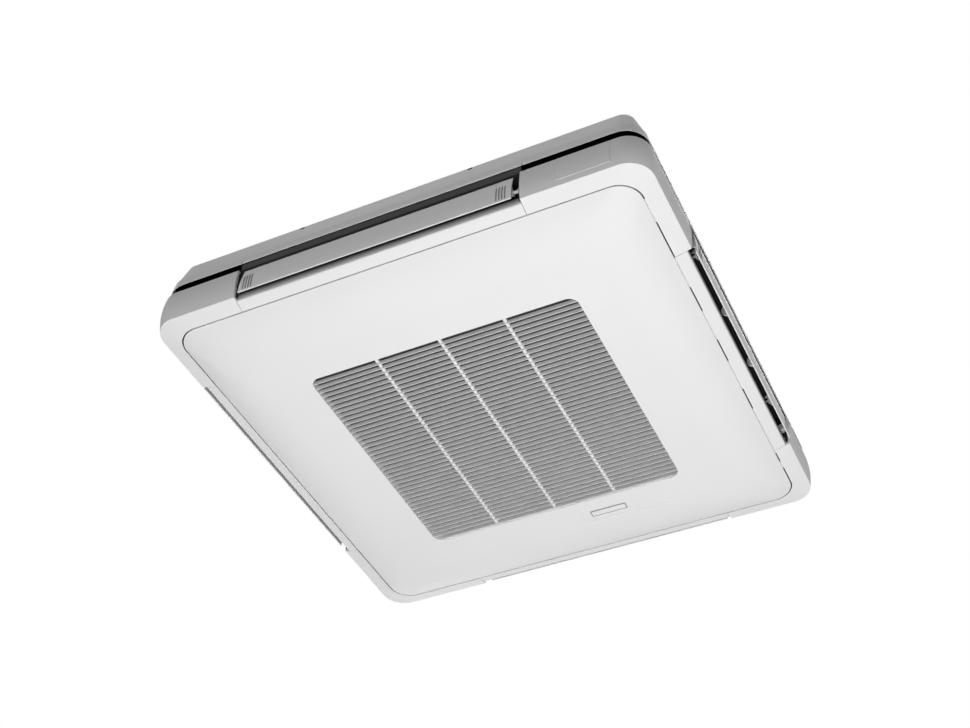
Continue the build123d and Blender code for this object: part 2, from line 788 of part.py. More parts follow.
# white flap: convex plate, two end arms and two stub arms on the posts, and
# two half-round ribs; one end pin runs on into the stepper motor
FLAP_LOW = (479.4, -158.3)
FLAP_BELLY = (479.4, -131.0)
FLAP_HIGH = (473.8, -101.0)
FLAP_WALL = 2.4
FLAP_LOW_ENDS = (-289.5, 240.0)
FLAP_HIGH_ENDS = (-283.5, 241.5)
ARM_WALL = 3.0
ARM = ((468, -137), (477.5, -145), (477.5, -119), (468, -125))
STUB_ARM = ((466, -138), (477.5, -154), (477.5, -110), (466, -124))
ARM_R = 6.2
SHORT_ARM = -284.0
LONG_ARM = 236.0
SHORT_PIN_END = -297.0
LONG_PIN_END = 263.0
GROOVES = (-279.0, -273.6, -268.2, -262.8, 213.0, 218.4, 223.8, 229.2)
GROOVE_DEPTH = 1.3
GROOVE = (35.0, 2.2)
GROOVE_Z = -137.0
MOTOR_FACE = 258.0

for quarter in QUARTERS:
    ends = (OUTLET_SHORT_END + 0.5, OUTLET_LONG_END - 0.5)
    with BuildPart() as frame:
        with BuildSketch(section(quarter, OUTLET_MID)):
            with BuildLine():
                Polyline(*FRAME_BAR, close=True)
            make_face()
            offset(amount=-FRAME_WALL, kind=Kind.INTERSECTION, mode=Mode.SUBTRACT)
        extrude(amount=(ends[1] - ends[0]) / 2, both=True)
        add(across(quarter, END_PLATE, ends[0], ends[0] + PLATE_WALL))
        add(across(quarter, END_PLATE, ends[1] - PLATE_WALL, ends[1]))
        with BuildSketch(section(quarter, OUTLET_MID)):
            with Locations((PIVOT_OUT, PIVOT_Z)):
                Circle(BUSH_OUT_R)
        extrude(amount=400, both=True, mode=Mode.SUBTRACT)
    save(frame.part, f"outlet_frame_{quarter.name}")

    with BuildPart() as lip:
        add(across(quarter, LIP, *ends))
        for place in POST_PLACES:
            add(across(quarter, POST, place, place + ARM_WALL))
        with BuildSketch(section(quarter, OUTLET_MID)):
            with Locations((PIVOT_OUT, PIVOT_Z)):
                Circle(STUB_R + CLEARANCE)
        extrude(amount=240, both=True, mode=Mode.SUBTRACT)
    save(lip.part, f"outlet_lip_{quarter.name}")

    with BuildPart() as flap:
        with BuildSketch(section(quarter, OUTLET_MID)):
            with BuildLine():
                ThreePointArc(FLAP_LOW, FLAP_BELLY, FLAP_HIGH)
                offset(amount=FLAP_WALL, side=Side.LEFT)
            make_face()
        extrude(amount=300, both=True)
        outline = [
            (quarter.sign * FLAP_LOW_ENDS[0], FLAP_LOW[1] - 3),
            (quarter.sign * FLAP_LOW_ENDS[1], FLAP_LOW[1] - 3),
            (quarter.sign * FLAP_HIGH_ENDS[1], FLAP_HIGH[1] + 3),
            (quarter.sign * FLAP_HIGH_ENDS[0], FLAP_HIGH[1] + 3),
        ]
        with BuildSketch(face_plane(quarter, 460)):
            with BuildLine():
                Polyline(*outline, close=True)
            make_face()
        extrude(amount=30, mode=Mode.INTERSECT)
        with BuildPart(mode=Mode.PRIVATE) as skin:
            with BuildSketch(section(quarter, OUTLET_MID)):
                with BuildLine():
                    ThreePointArc(FLAP_LOW, FLAP_BELLY, FLAP_HIGH)
                    offset(amount=GROOVE_DEPTH, side=Side.LEFT)
                make_face()
            extrude(amount=300, both=True)
            with BuildSketch(face_plane(quarter, 460)):
                for place in GROOVES:
                    with Locations((quarter.sign * place, GROOVE_Z)):
                        SlotOverall(*GROOVE, rotation=90)
            extrude(amount=30, mode=Mode.INTERSECT)
        add(skin.part, mode=Mode.SUBTRACT)
        arms = (
            (SHORT_ARM, PIN_R, SHORT_PIN_END),
            (LONG_ARM, PIN_R, LONG_PIN_END),
            (POST_PLACES[0] - ARM_WALL - 0.4, STUB_R, None),
            (POST_PLACES[1] - ARM_WALL - 0.4, STUB_R, None),
        )
        for place, pin_r, pin_end in arms:
            arm = STUB_ARM if pin_end is None else ARM
            add(across(quarter, arm, place, place + ARM_WALL))
            with BuildSketch(section(quarter, place + ARM_WALL / 2)):
                with Locations((PIVOT_OUT, PIVOT_Z)):
                    Circle(ARM_R)
            extrude(amount=ARM_WALL / 2, both=True)
            inner = place + ARM_WALL / 2
            outer = place + 2 * ARM_WALL + 1 if pin_end is None else pin_end
            with BuildSketch(section(quarter, (inner + outer) / 2)):
                with Locations((PIVOT_OUT, PIVOT_Z)):
                    Circle(pin_r)
            extrude(amount=abs(outer - inner) / 2, both=True)
        for place in RIB_PLACES:
            with BuildSketch(section(quarter, place)):
                with Locations((477.5, PIVOT_Z)):
                    Circle(14)
                with Locations((490, PIVOT_Z)):
                    Rectangle(26, 40, mode=Mode.SUBTRACT)
            extrude(amount=ARM_WALL / 2, both=True)
    save(flap.part, f"flap_{quarter.name}")

    with BuildPart() as stepper:
        with BuildSketch(section(quarter, MOTOR_FACE + 9)):
            with Locations((PIVOT_OUT - 8, PIVOT_Z)):
                Circle(14)
        extrude(amount=9, both=True)
        with BuildSketch(section(quarter, MOTOR_FACE + 0.5)):
            with Locations((PIVOT_OUT - 8, PIVOT_Z)):
                SlotOverall(42, 7, rotation=90)
        extrude(amount=0.5, both=True)
        with BuildSketch(section(quarter, MOTOR_FACE + 3)):
            with Locations((PIVOT_OUT, PIVOT_Z)):
                Circle(PIN_R + CLEARANCE)
        extrude(amount=3, both=True, mode=Mode.SUBTRACT)
    save(stepper.part, f"flap_motor_{quarter.name}")

# acetal bushes for the flaps' end pins, one in each outlet end plate
with BuildPart() as flap_bushes:
    for quarter in QUARTERS:
        for start, end in ((-297.8, -291.5), (248.5, 254.0)):
            with BuildSketch(section(quarter, (start + end) / 2)):
                with Locations((PIVOT_OUT, PIVOT_Z)):
                    Circle(BUSH_OUT_R)
                    Circle(PIN_R + CLEARANCE, mode=Mode.SUBTRACT)
            extrude(amount=(end - start) / 2, both=True)
save(flap_bushes.part, "flap_bushes")


# ------------------------------------------------------------ corner covers

COVER_SIDE = (
    (COVER_HIGH_Z, *COVER_HIGH),
    (COVER_BULGE_Z, *COVER_BULGE),
    (COVER_LOW_Z, *COVER_LOW),
)
COVER_FLOOR = ((COVER_LOW_Z, *COVER_LOW), (SEAM_Z, *RING_SEAM))
END_WALL_DEPTH = 22.0
PIN_WINDOW_R = 7.0
KNOCKOUT_X = (319.0, 417.0)
KNOCKOUT_LOW_Z = -150.5
KNOCKOUT_GAP = 0.2

# the white moulded ring with its corners, before the outlets part it
with BuildPart() as cover_ring:
    add(squares(COVER_SIDE))
    add(squares(COVER_FLOOR))
    add(squares(inset(COVER_SIDE, COVER_WALL)), mode=Mode.SUBTRACT)
    floor_inside = (
        (SEAM_Z + 2.4, RING_SEAM[0], RING_SEAM[1]),
        (COVER_LOW_Z, COVER_LOW[0] - COVER_WALL, COVER_LOW[1] - COVER_WALL),
    )
    add(squares(floor_inside), mode=Mode.SUBTRACT)
    with BuildSketch(Plane.XY.offset(SEAM_Z)):
        RectangleRounded(2 * RING_SEAM[0], 2 * RING_SEAM[0], RING_SEAM[1])
    extrude(amount=90, mode=Mode.SUBTRACT)

knockout_half = (KNOCKOUT_X[1] - KNOCKOUT_X[0]) / 2
knockout_mid = sum(KNOCKOUT_X) / 2
knockout_high = COVER_HIGH_Z - KNOCKOUT_LOW_Z

for name, x_sign, y_sign, edge in CORNERS:
    low_edge = edge + SEAM_GAP
    wall_depth = COVER_BULGE[0] - END_WALL_DEPTH
    with BuildPart() as end_walls:
        add(squares(inset(COVER_SIDE, COVER_WALL - 0.01)))
        add(corner_block(x_sign, y_sign, low_edge), mode=Mode.INTERSECT)
        add(corner_block(x_sign, y_sign, low_edge + COVER_WALL), mode=Mode.SUBTRACT)
        with BuildSketch(Plane.XY.offset(SEAM_Z)):
            Rectangle(2 * wall_depth, 2 * wall_depth)
        extrude(amount=90, mode=Mode.SUBTRACT)
    with BuildPart() as cover:
        add(cover_ring.part)
        add(corner_block(x_sign, y_sign, low_edge), mode=Mode.INTERSECT)
        add(end_walls.part)
        for quarter in QUARTERS:
            with BuildSketch(section(quarter, OUTLET_MID)):
                with Locations((PIVOT_OUT, PIVOT_Z)):
                    Circle(PIN_WINDOW_R)
            extrude(amount=330, both=True, mode=Mode.SUBTRACT)
        if name == "front_right":
            with BuildSketch(Plane.XZ.offset(COVER_LOW[0] - 8)):
                with Locations((knockout_mid, KNOCKOUT_LOW_Z + knockout_high / 2)):
                    Rectangle(2 * knockout_half, knockout_high)
            extrude(amount=20, mode=Mode.SUBTRACT)
    save(cover.part, f"corner_cover_{name}")

# plate that closes the pipe opening in the front right cover
with BuildPart() as pipe_knockout:
    add(cover_ring.part)
    with BuildSketch(Plane.XZ.offset(COVER_LOW[0] - 8)):
        with Locations((knockout_mid, KNOCKOUT_LOW_Z + knockout_high / 2)):
            Rectangle(2 * (knockout_half - KNOCKOUT_GAP), knockout_high - KNOCKOUT_GAP)
    extrude(amount=20, mode=Mode.INTERSECT)
save(pipe_knockout.part, "pipe_knockout")


# ------------------------------------------------------------ suction panel

LATCH_W = 30.0
LATCH_Z = -166.5
LATCH_Y = (404.0, 443.6)
GUIDE_LOW = ((402, -188), (420, -181), (420, LATCH_Z - 0.4), (402, LATCH_Z - 0.4))
GUIDE_RAIL = ((402, -188), (420, -181), (420, -161), (402, -161))
GUIDE_GAP = 0.3
RIM = 2.0
RIM_HIGH_Z = SEAM_Z + 2.5
HOOK_R = 3.0
HOOK_HALF = 6.0
HOOK_WEB = (
    (HINGE_Y - 1.5, HINGE_Z - 2),
    (HINGE_Y - 1.5, HINGE_Z - 4.2),
    (HINGE_Y + 10, HINGE_Z - 9.6),
    (HINGE_Y + 2.5, HINGE_Z),
)
EAR_WALL = 3.0
EAR_R = 2.6
EAR_GAP = 0.4
BADGE_XY = (96.0, 307.0)
BADGE = (74.0, 16.0, 1.0)
BADGE_SHEET = 0.5
RAIL_HALF = GRILLE_HALF + 6.0
RAIL_LOW_Z = -196.0
RAIL_HIGH_Z = -180.0

panel_skin = squares(PANEL_RINGS)
panel_space = squares(inset(PANEL_RINGS, 0.0, PANEL_WALL))

with BuildPart() as suction_panel:
    add(panel_skin)
    add(panel_space, mode=Mode.SUBTRACT)
    rim_inner = (PANEL_RINGS[0][1] - RIM, PANEL_RINGS[0][2] - RIM)
    add(band(SEAM_Z, RIM_HIGH_Z, rim_inner, PANEL_RINGS[0][1:]))
    for hinge_x in (-HINGE_X, HINGE_X):
        with BuildSketch(Plane.YZ.offset(hinge_x - HOOK_HALF)):
            with Locations((HINGE_Y, HINGE_Z)):
                Circle(HOOK_R)
            with BuildLine():
                Polyline(*HOOK_WEB, close=True)
            make_face()
        extrude(amount=2 * HOOK_HALF)
    add(band(RAIL_LOW_Z, RAIL_HIGH_Z, (GRILLE_HALF, GRILLE_R), (RAIL_HALF, GRILLE_R + 6)))
    with BuildSketch(Plane.XY.offset(PANEL_LOW_Z)):
        RectangleRounded(2 * GRILLE_HALF, 2 * GRILLE_HALF, GRILLE_R)
    extrude(amount=10, mode=Mode.SUBTRACT)
    for hinge_x in (-HINGE_X, HINGE_X):
        pin_hole = Plane((hinge_x - 20, HINGE_Y, HINGE_Z), z_dir=(1, 0, 0))
        add(rod(pin_hole, HINGE_PIN_R + CLEARANCE, 40), mode=Mode.SUBTRACT)
    with BuildSketch(Plane.XY.offset(PANEL_LOW_Z)):
        with Locations(BADGE_XY):
            RectangleRounded(*BADGE)
    extrude(amount=BADGE_SHEET, mode=Mode.SUBTRACT)
    for latch_x in (-LATCH_X, LATCH_X):
        with BuildSketch(Plane.YZ.offset(latch_x)):
            with BuildLine():
                Polyline(*GUIDE_LOW, close=True)
            make_face()
        extrude(amount=LATCH_W / 2 + 1, both=True)
        for rail_x in (-LATCH_W / 2 - GUIDE_GAP - 1.5, LATCH_W / 2 + GUIDE_GAP + 1.5):
            with BuildSketch(Plane.YZ.offset(latch_x + rail_x)):
                with BuildLine():
                    Polyline(*GUIDE_RAIL, close=True)
                make_face()
            extrude(amount=1.5, both=True)
save(suction_panel.part, "suction_panel")

# steel hinge brackets screwed under the drain pan's edge, each with its pin
EAR = (
    (HINGE_Y - 1.5, HINGE_Z + 2),
    (HINGE_Y + 2.4, HINGE_Z),
    (HINGE_Y + 14, PAN_FOOT_Z - 2),
    (HINGE_Y + 4, PAN_FOOT_Z - 2),
)

with BuildPart() as hinge_brackets:
    for hinge_x in (-HINGE_X, HINGE_X):
        with BuildSketch(Plane.XY.offset(PAN_FOOT_Z - 2)):
            with Locations((hinge_x, -PAN_OUT + 5)):
                Rectangle(30, 26)
        extrude(amount=2)
        for ear_x in (-HOOK_HALF - EAR_GAP - EAR_WALL, HOOK_HALF + EAR_GAP):
            with BuildSketch(Plane.YZ.offset(hinge_x + ear_x)):
                with Locations((HINGE_Y, HINGE_Z)):
                    Circle(EAR_R)
                with BuildLine():
                    Polyline(*EAR, close=True)
                make_face()
            extrude(amount=EAR_WALL)
        pin_half = HOOK_HALF + EAR_GAP + EAR_WALL
        pin_start = Plane((hinge_x - pin_half, HINGE_Y, HINGE_Z), z_dir=(1, 0, 0))
        add(rod(pin_start, HINGE_PIN_R, 2 * pin_half))
save(hinge_brackets.part, "hinge_brackets")

# intake grille: leaning slats tied together by three ribs and a thin frame
SLAT_TIP = 1.4
SLAT_LEAN = 1.7
SLAT_SHIFT = 3.75
SLAT_HIGH_Z = PANEL_LOW_Z + 10
SLAT = (
    (0.0, PANEL_LOW_Z),
    (SLAT_TIP, PANEL_LOW_Z),
    (SLAT_TIP + SLAT_LEAN, SLAT_HIGH_Z),
    (SLAT_LEAN, SLAT_HIGH_Z),
)
RIB_W = 6.0
RIB_LOW_Z = PANEL_LOW_Z + 4
RIB_HIGH_Z = PANEL_LOW_Z + 9
GRILLE_GAP = 0.3
GRILLE_FRAME = 2.0

with BuildPart() as intake_grille:
    with BuildSketch(Plane.YZ.offset(-GRILLE_HALF)):
        for row in range(SLAT_COUNT):
            middle = (row - (SLAT_COUNT - 1) / 2) * SLAT_PITCH + SLAT_SHIFT
            with BuildLine():
                Polyline(*[(middle + y, z) for y, z in SLAT], close=True)
            make_face()
    extrude(amount=2 * GRILLE_HALF)
    with BuildSketch(Plane.XY.offset(RIB_LOW_Z)):
        for rib_x in RIB_X:
            with Locations((rib_x, 0)):
                Rectangle(RIB_W, 2 * GRILLE_HALF)
    extrude(amount=RIB_HIGH_Z - RIB_LOW_Z)
    grille_outer = (GRILLE_HALF - GRILLE_GAP, GRILLE_R - GRILLE_GAP)
    grille_inner = (grille_outer[0] - GRILLE_FRAME, grille_outer[1] - GRILLE_FRAME)
    with BuildSketch(Plane.XY.offset(PANEL_LOW_Z)):
        RectangleRounded(2 * grille_outer[0], 2 * grille_outer[0], grille_outer[1])
    extrude(amount=20, mode=Mode.INTERSECT)
    add(band(RIB_LOW_Z, RIB_HIGH_Z, grille_inner, grille_outer))
save(intake_grille.part, "intake_grille")

# long-life air filter lying in the grille's rails
FILTER_HALF = 260.0
FILTER_Z = -186.5

with BuildPart() as filter_frame:
    add(band(FILTER_Z, FILTER_Z + 5, (FILTER_HALF - 8, 10.0), (FILTER_HALF, 16.0)))
    with BuildSketch(Plane.XY.offset(FILTER_Z)):
        for place in (-FILTER_HALF / 2 + 2, 0, FILTER_HALF / 2 - 2):
            with Locations((place, 0)):
                Rectangle(5, 2 * FILTER_HALF - 10)
            with Locations((0, place)):
                Rectangle(2 * FILTER_HALF - 10, 5)
    extrude(amount=2)
save(filter_frame.part, "filter_frame")

with BuildPart() as filter_mesh:
    with BuildSketch(Plane.XY.offset(FILTER_Z + 2)):
        RectangleRounded(2 * FILTER_HALF - 16, 2 * FILTER_HALF - 16, 10)
    extrude(amount=1)
save(filter_mesh.part, "filter_mesh")

# bare plate let into the panel beside the grille
with BuildPart() as badge_plate:
    with BuildSketch(Plane.XY.offset(PANEL_LOW_Z)):
        with Locations(BADGE_XY):
            RectangleRounded(*BADGE)
    extrude(amount=BADGE_SHEET)
save(badge_plate.part, "badge_plate")

# two sliding catches behind the back edge, each with its finger tab in the seam
for name, latch_x in (("left", -LATCH_X), ("right", LATCH_X)):
    with BuildPart() as latch:
        with BuildSketch(Plane.XY.offset(LATCH_Z)):
            with Locations((latch_x, sum(LATCH_Y) / 2)):
                Rectangle(LATCH_W, LATCH_Y[1] - LATCH_Y[0])
        extrude(amount=3)
        with BuildSketch(Plane.XY.offset(LATCH_Z - 2.2)):
            with Locations((latch_x, LATCH_Y[1] - 1.5)):
                Rectangle(LATCH_W, 3)
        extrude(amount=2.2)
    save(latch.part, f"panel_latch_{name}")
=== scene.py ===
"""The looks of a four-way ceiling air conditioner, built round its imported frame."""

import json
import math

import bmesh
import bpy
from mathutils import Matrix, Vector


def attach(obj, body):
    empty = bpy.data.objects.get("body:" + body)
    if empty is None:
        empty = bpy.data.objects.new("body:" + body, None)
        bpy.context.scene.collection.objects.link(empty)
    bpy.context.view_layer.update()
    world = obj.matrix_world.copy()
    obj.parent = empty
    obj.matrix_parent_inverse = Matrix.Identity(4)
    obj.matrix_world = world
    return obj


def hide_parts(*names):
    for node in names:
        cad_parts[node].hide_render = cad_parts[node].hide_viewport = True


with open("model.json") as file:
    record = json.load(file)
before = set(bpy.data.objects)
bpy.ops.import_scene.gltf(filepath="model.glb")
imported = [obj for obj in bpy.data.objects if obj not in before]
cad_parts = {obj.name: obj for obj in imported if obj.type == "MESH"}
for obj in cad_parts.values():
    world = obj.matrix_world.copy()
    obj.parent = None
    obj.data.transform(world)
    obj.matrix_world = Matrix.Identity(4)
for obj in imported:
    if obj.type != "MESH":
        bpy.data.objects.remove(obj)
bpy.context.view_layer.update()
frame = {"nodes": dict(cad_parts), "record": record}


# ------------------------------------------------------------- studio
# A white room with no props: a pale floor far below the unit, soft lamps
# under, over and beside it, and a camera that looks up at the near corner.


class Wire:
    """An output socket that adds Math nodes when it is used in a sum."""

    def __init__(self, nodes, socket):
        self.nodes = nodes
        self.socket = socket

    def join(self, operation, first, second, **settings):
        settings["operation"] = operation
        return self.nodes.node("Math", settings, {0: first, 1: second})

    def __add__(self, other):
        return self.join("ADD", self, other)

    def __sub__(self, other):
        return self.join("SUBTRACT", self, other)

    def __mul__(self, other):
        return self.join("MULTIPLY", self, other)

    def __truediv__(self, other):
        return self.join("DIVIDE", self, other)

    def __rsub__(self, other):
        return self.join("SUBTRACT", other, self)

    def __gt__(self, other):
        return self.join("GREATER_THAN", self, other)

    def __abs__(self):
        return self.join("ABSOLUTE", self, 0.0)

    def clamped(self):
        return self.join("ADD", self, 0.0, use_clamp=True)

    def triangle(self, pitch):
        """A wave that climbs from 0 to 1 and falls again once in each pitch."""
        return self.join("PINGPONG", self, pitch / 2) * (2 / pitch)

    __radd__ = __add__
    __rmul__ = __mul__


class Nodes:
    """A node tree that starts empty and is wired from one output backwards."""

    def __init__(self, tree):
        self.tree = tree
        tree.nodes.clear()

    def set(self, node, inputs):
        for key, value in inputs.items():
            if isinstance(value, Wire):
                self.tree.links.new(value.socket, node.inputs[key])
            else:
                node.inputs[key].default_value = value

    def node(self, kind, settings=None, inputs=None, out=0):
        """Add one node: its settings first, then its sockets' values or links."""
        made = self.tree.nodes.new("ShaderNode" + kind)
        for key, value in (settings or {}).items():
            setattr(made, key, value)
        self.set(made, inputs or {})
        return Wire(self, made.outputs[out]) if made.outputs else made

    def seen(self):
        """1 for rays from the camera, in gloss or through glass, else 0."""
        kinds = ("Is Camera Ray", "Is Glossy Ray", "Is Transmission Ray")
        camera, gloss, glass = (self.node("LightPath", out=kind) for kind in kinds)
        return (camera + gloss + glass).clamped()


MM = 0.001
FLOOR_Z = -4.4
FLOOR_SIZE = 60.0
FLOOR_GLOW = 0.84
FLOOR_SHADE = (0.5, 0.5, 0.5, 1)
FLOOR_BOUNCE = (0.45, 0.45, 0.45, 1)
CAMERA_AT = Vector((965.8, -2035.4, -2176.0)) * MM
CAMERA_HEADING = math.radians(26.192)
CAMERA_PITCH = math.radians(43.63)
CAMERA_ROLL = math.radians(1.453)
CAMERA_LENS = 59.09
CAMERA_SENSOR = 36.0
CAMERA_REACH = 200.0
ROOM_LIGHT = 0.03
WHITE_LIGHT = (1, 1, 1, 1)
LAMPS = (
    # name, place, size, power
    ("lamp_near", (0.0, -2.57, -2.23), 2.4, 29.0),
    ("lamp_under", (0.4, -0.8, -2.23), 2.0, 24.0),
    ("lamp_far", (0.4, 1.52, -3.04), 3.0, 36.0),
    ("lamp_right", (3.27, 0.34, -0.95), 2.4, 21.0),
    ("lamp_over", (-0.34, -0.34, 3.37), 3.0, 9.0),
    ("lamp_over_behind", (-0.8, 2.8, 3.2), 3.0, 90.0),
    ("lamp_left", (-2.38, -2.38, -0.51), 2.4, 6.0),
    ("lamp_behind", (-2.0, 2.7, -0.35), 2.4, 20.0),
)

scene = bpy.context.scene
scene.view_settings.view_transform = "Standard"

camera_data = bpy.data.cameras.new("camera")
camera_data.lens = CAMERA_LENS
camera_data.sensor_width = CAMERA_SENSOR
camera_data.clip_end = CAMERA_REACH
camera = bpy.data.objects.new("camera", camera_data)
turn = Matrix.Rotation(CAMERA_HEADING, 4, "Z")
lift = Matrix.Rotation(math.pi / 2 + CAMERA_PITCH, 4, "X")
roll = Matrix.Rotation(CAMERA_ROLL, 4, "Z")
camera.matrix_world = Matrix.Translation(CAMERA_AT) @ turn @ lift @ roll
scene.collection.objects.link(camera)
scene.camera = camera

for name, place, size, power in LAMPS:
    lamp_data = bpy.data.lights.new(name, "AREA")
    lamp_data.shape = "DISK"
    lamp_data.size = size
    lamp_data.energy = power
    lamp = bpy.data.objects.new(name, lamp_data)
    lamp.location = place
    lamp.rotation_mode = "QUATERNION"
    lamp.rotation_quaternion = (-Vector(place)).to_track_quat("-Z", "Y")
    lamp.visible_camera = False
    scene.collection.objects.link(lamp)

world = bpy.data.worlds.new("room")
world.use_nodes = True
scene.world = world
sky = Nodes(world.node_tree)
sky_light = sky.node("Background", {}, {"Color": WHITE_LIGHT, "Strength": ROOM_LIGHT})
sky_seen = sky.node("Background", {}, {"Color": WHITE_LIGHT, "Strength": 1.0})
sky_mix = sky.node("MixShader", {}, {0: sky.seen(), 1: sky_light, 2: sky_seen})
sky.node("OutputWorld", {}, {"Surface": sky_mix})

floor_paint = bpy.data.materials.new("floor_paint")
floor_paint.use_nodes = True
ground = Nodes(floor_paint.node_tree)
ground_light = ground.node("BsdfDiffuse", {}, {"Color": FLOOR_BOUNCE})
ground_shade = ground.node("BsdfDiffuse", {}, {"Color": FLOOR_SHADE})
ground_glow = ground.node("Emission", {}, {"Color": WHITE_LIGHT, "Strength": FLOOR_GLOW})
ground_seen = ground.node("AddShader", {}, {0: ground_shade, 1: ground_glow})
ground_sides = {0: ground.seen(), 1: ground_light, 2: ground_seen}
ground_mix = ground.node("MixShader", {}, ground_sides)
ground.node("OutputMaterial", {}, {"Surface": ground_mix})

floor_mesh = bmesh.new()
bmesh.ops.create_grid(floor_mesh, x_segments=1, y_segments=1, size=FLOOR_SIZE)
bmesh.ops.translate(floor_mesh, verts=floor_mesh.verts, vec=(0, 0, FLOOR_Z))
floor_data = bpy.data.meshes.new("floor")
floor_mesh.to_mesh(floor_data)
floor_mesh.free()
floor_data.materials.append(floor_paint)
floor = bpy.data.objects.new("floor", floor_data)
scene.collection.objects.link(floor)


# ------------------------------------------------------- corner covers
# Four injection-moulded covers in off-white plastic with a fine matt grain,
# two short and two long, each screwed over its corner of the steel body.


class Finish(Nodes):
    """One material being wired: a Principled surface and what feeds it."""

    def __init__(self, name, **fixed):
        self.material = bpy.data.materials.new(name)
        self.material.use_nodes = True
        super().__init__(self.material.node_tree)
        self.surface = self.tree.nodes.new("ShaderNodeBsdfPrincipled")
        output = self.tree.nodes.new("ShaderNodeOutputMaterial")
        self.tree.links.new(self.surface.outputs[0], output.inputs["Surface"])
        self.set(self.surface, {k.replace("_", " "): v for k, v in fixed.items()})

    def place(self, stretch=(1, 1, 1)):
        """Object coordinates, stretched."""
        point = self.node("TexCoord", out="Object")
        return self.node("Mapping", {}, {"Vector": point, "Scale": stretch})

    def axes(self):
        """Object coordinates as three numbers, in metres."""
        point = self.node("TexCoord", out="Object")
        return [self.node("SeparateXYZ", {}, {0: point}, out) for out in range(3)]

    def noise(self, scale, detail=2.0, stretch=(1, 1, 1)):
        sockets = {"Vector": self.place(stretch), "Scale": scale, "Detail": detail}
        return self.node("TexNoise", {}, sockets)

    def cells(self, scale, out="Distance", feature="F1"):
        sockets = {"Vector": self.place(), "Scale": scale}
        return self.node("TexVoronoi", {"feature": feature}, sockets, out)

    def tint(self, mask, low, high):
        """Colour from low to high as a mask goes from 0 to 1."""
        low, high = ((*c, 1) if isinstance(c, tuple) else c for c in (low, high))
        return self.node("Mix", {"data_type": "RGBA"}, {0: mask, 6: low, 7: high}, out=2)

    def relief(self, height, depth):
        """Bump of a depth in metres from a height between 0 and 1."""
        sockets = {"Height": height, "Strength": 1.0, "Distance": depth}
        return self.node("Bump", {}, sockets)

    def finish(self, **sockets):
        self.set(self.surface, {k.replace("_", " "): v for k, v in sockets.items()})
        return self.material


CLOUD_SCALE = 7.0
CLOUD_SPREAD = 0.02
CLOUD_GLOSS = 0.08
GRAIN_GLOSS = 0.12


def moulded(name, colour, rough, grain=2600.0, depth=0.000006, gloss=0.35):
    """Fine-grained plastic: faint cloudy tone, matt grain in bump and gloss."""
    plastic = Finish(name, Specular_IOR_Level=gloss)
    cloud = plastic.noise(CLOUD_SCALE, 3.0)
    speck = plastic.noise(grain, 2.0)
    low = tuple(c * (1 - CLOUD_SPREAD) for c in colour)
    high = tuple(min(1.0, c * (1 + CLOUD_SPREAD)) for c in colour)
    return plastic.finish(
        Base_Color=plastic.tint(cloud, low, high),
        Roughness=rough + (speck - 0.5) * GRAIN_GLOSS + (cloud - 0.5) * CLOUD_GLOSS,
        Normal=plastic.relief(speck, depth),
    )


MERGE = 0.00001
SLIVER = 0.0000005
FLAT_ANGLE = math.radians(0.6)
CREASE_ANGLE = math.radians(24.0)
SHADING_ANGLE = math.radians(35.0)


def carve(shape, cutter):
    """Cut one closed bmesh out of another with an exact Boolean."""
    halves = []
    for half in (shape, cutter):
        mesh = bpy.data.meshes.new("half")
        half.to_mesh(mesh)
        half.free()
        halves.append(bpy.data.objects.new("half", mesh))
        scene.collection.objects.link(halves[-1])
    cut = halves[0].modifiers.new("cut", "BOOLEAN")
    cut.operation = "DIFFERENCE"
    cut.solver = "EXACT"
    cut.object = halves[1]
    result = bpy.data.meshes.new_from_object(
        halves[0].evaluated_get(bpy.context.evaluated_depsgraph_get())
    )
    for half in halves:
        bpy.data.objects.remove(half)
    carved = bmesh.new()
    carved.from_mesh(result)
    bpy.data.meshes.remove(result)
    bmesh.ops.remove_doubles(carved, verts=carved.verts, dist=MERGE)
    return carved


def sharp_edges(shape, shortest=0.0):
    """The creased edges of a shape that are long enough, in mm."""
    return [
        e
        for e in shape.edges
        if len(e.link_faces) == 2
        and e.calc_face_angle(0) > CREASE_ANGLE
        and e.calc_length() >= shortest * MM
    ]


def round_edges(shape, edges, radius, steps):
    """Round edges over by a radius in mm."""
    bmesh.ops.bevel(
        shape,
        geom=edges,
        offset=radius * MM,
        offset_type="OFFSET",
        segments=steps,
        profile=0.5,
        affect="EDGES",
        clamp_overlap=True,
        material=-1,
    )


def copy_of(node, soften=0.8, steps=2, shortest=0.0, cutter=None, shift=(0, 0, 0)):
    """A merged copy of a CAD node, its flats in one face and its edges rounded.

    Soften, shortest and shift are in millimetres: how far an edge is rounded,
    how long it has to be, and how far the copy stands off its node's place.
    """
    shape = bmesh.new()
    shape.from_mesh(frame["nodes"][node].data)
    bmesh.ops.remove_doubles(shape, verts=shape.verts, dist=MERGE)
    bmesh.ops.translate(shape, verts=shape.verts, vec=Vector(shift) * MM)
    if cutter:
        shape = carve(shape, cutter)
    bmesh.ops.dissolve_limit(
        shape, angle_limit=FLAT_ANGLE, verts=shape.verts, edges=shape.edges
    )
    if soften:
        round_edges(shape, sharp_edges(shape, shortest=shortest), soften, steps)
    bmesh.ops.dissolve_degenerate(shape, dist=SLIVER, edges=shape.edges)
    return shape


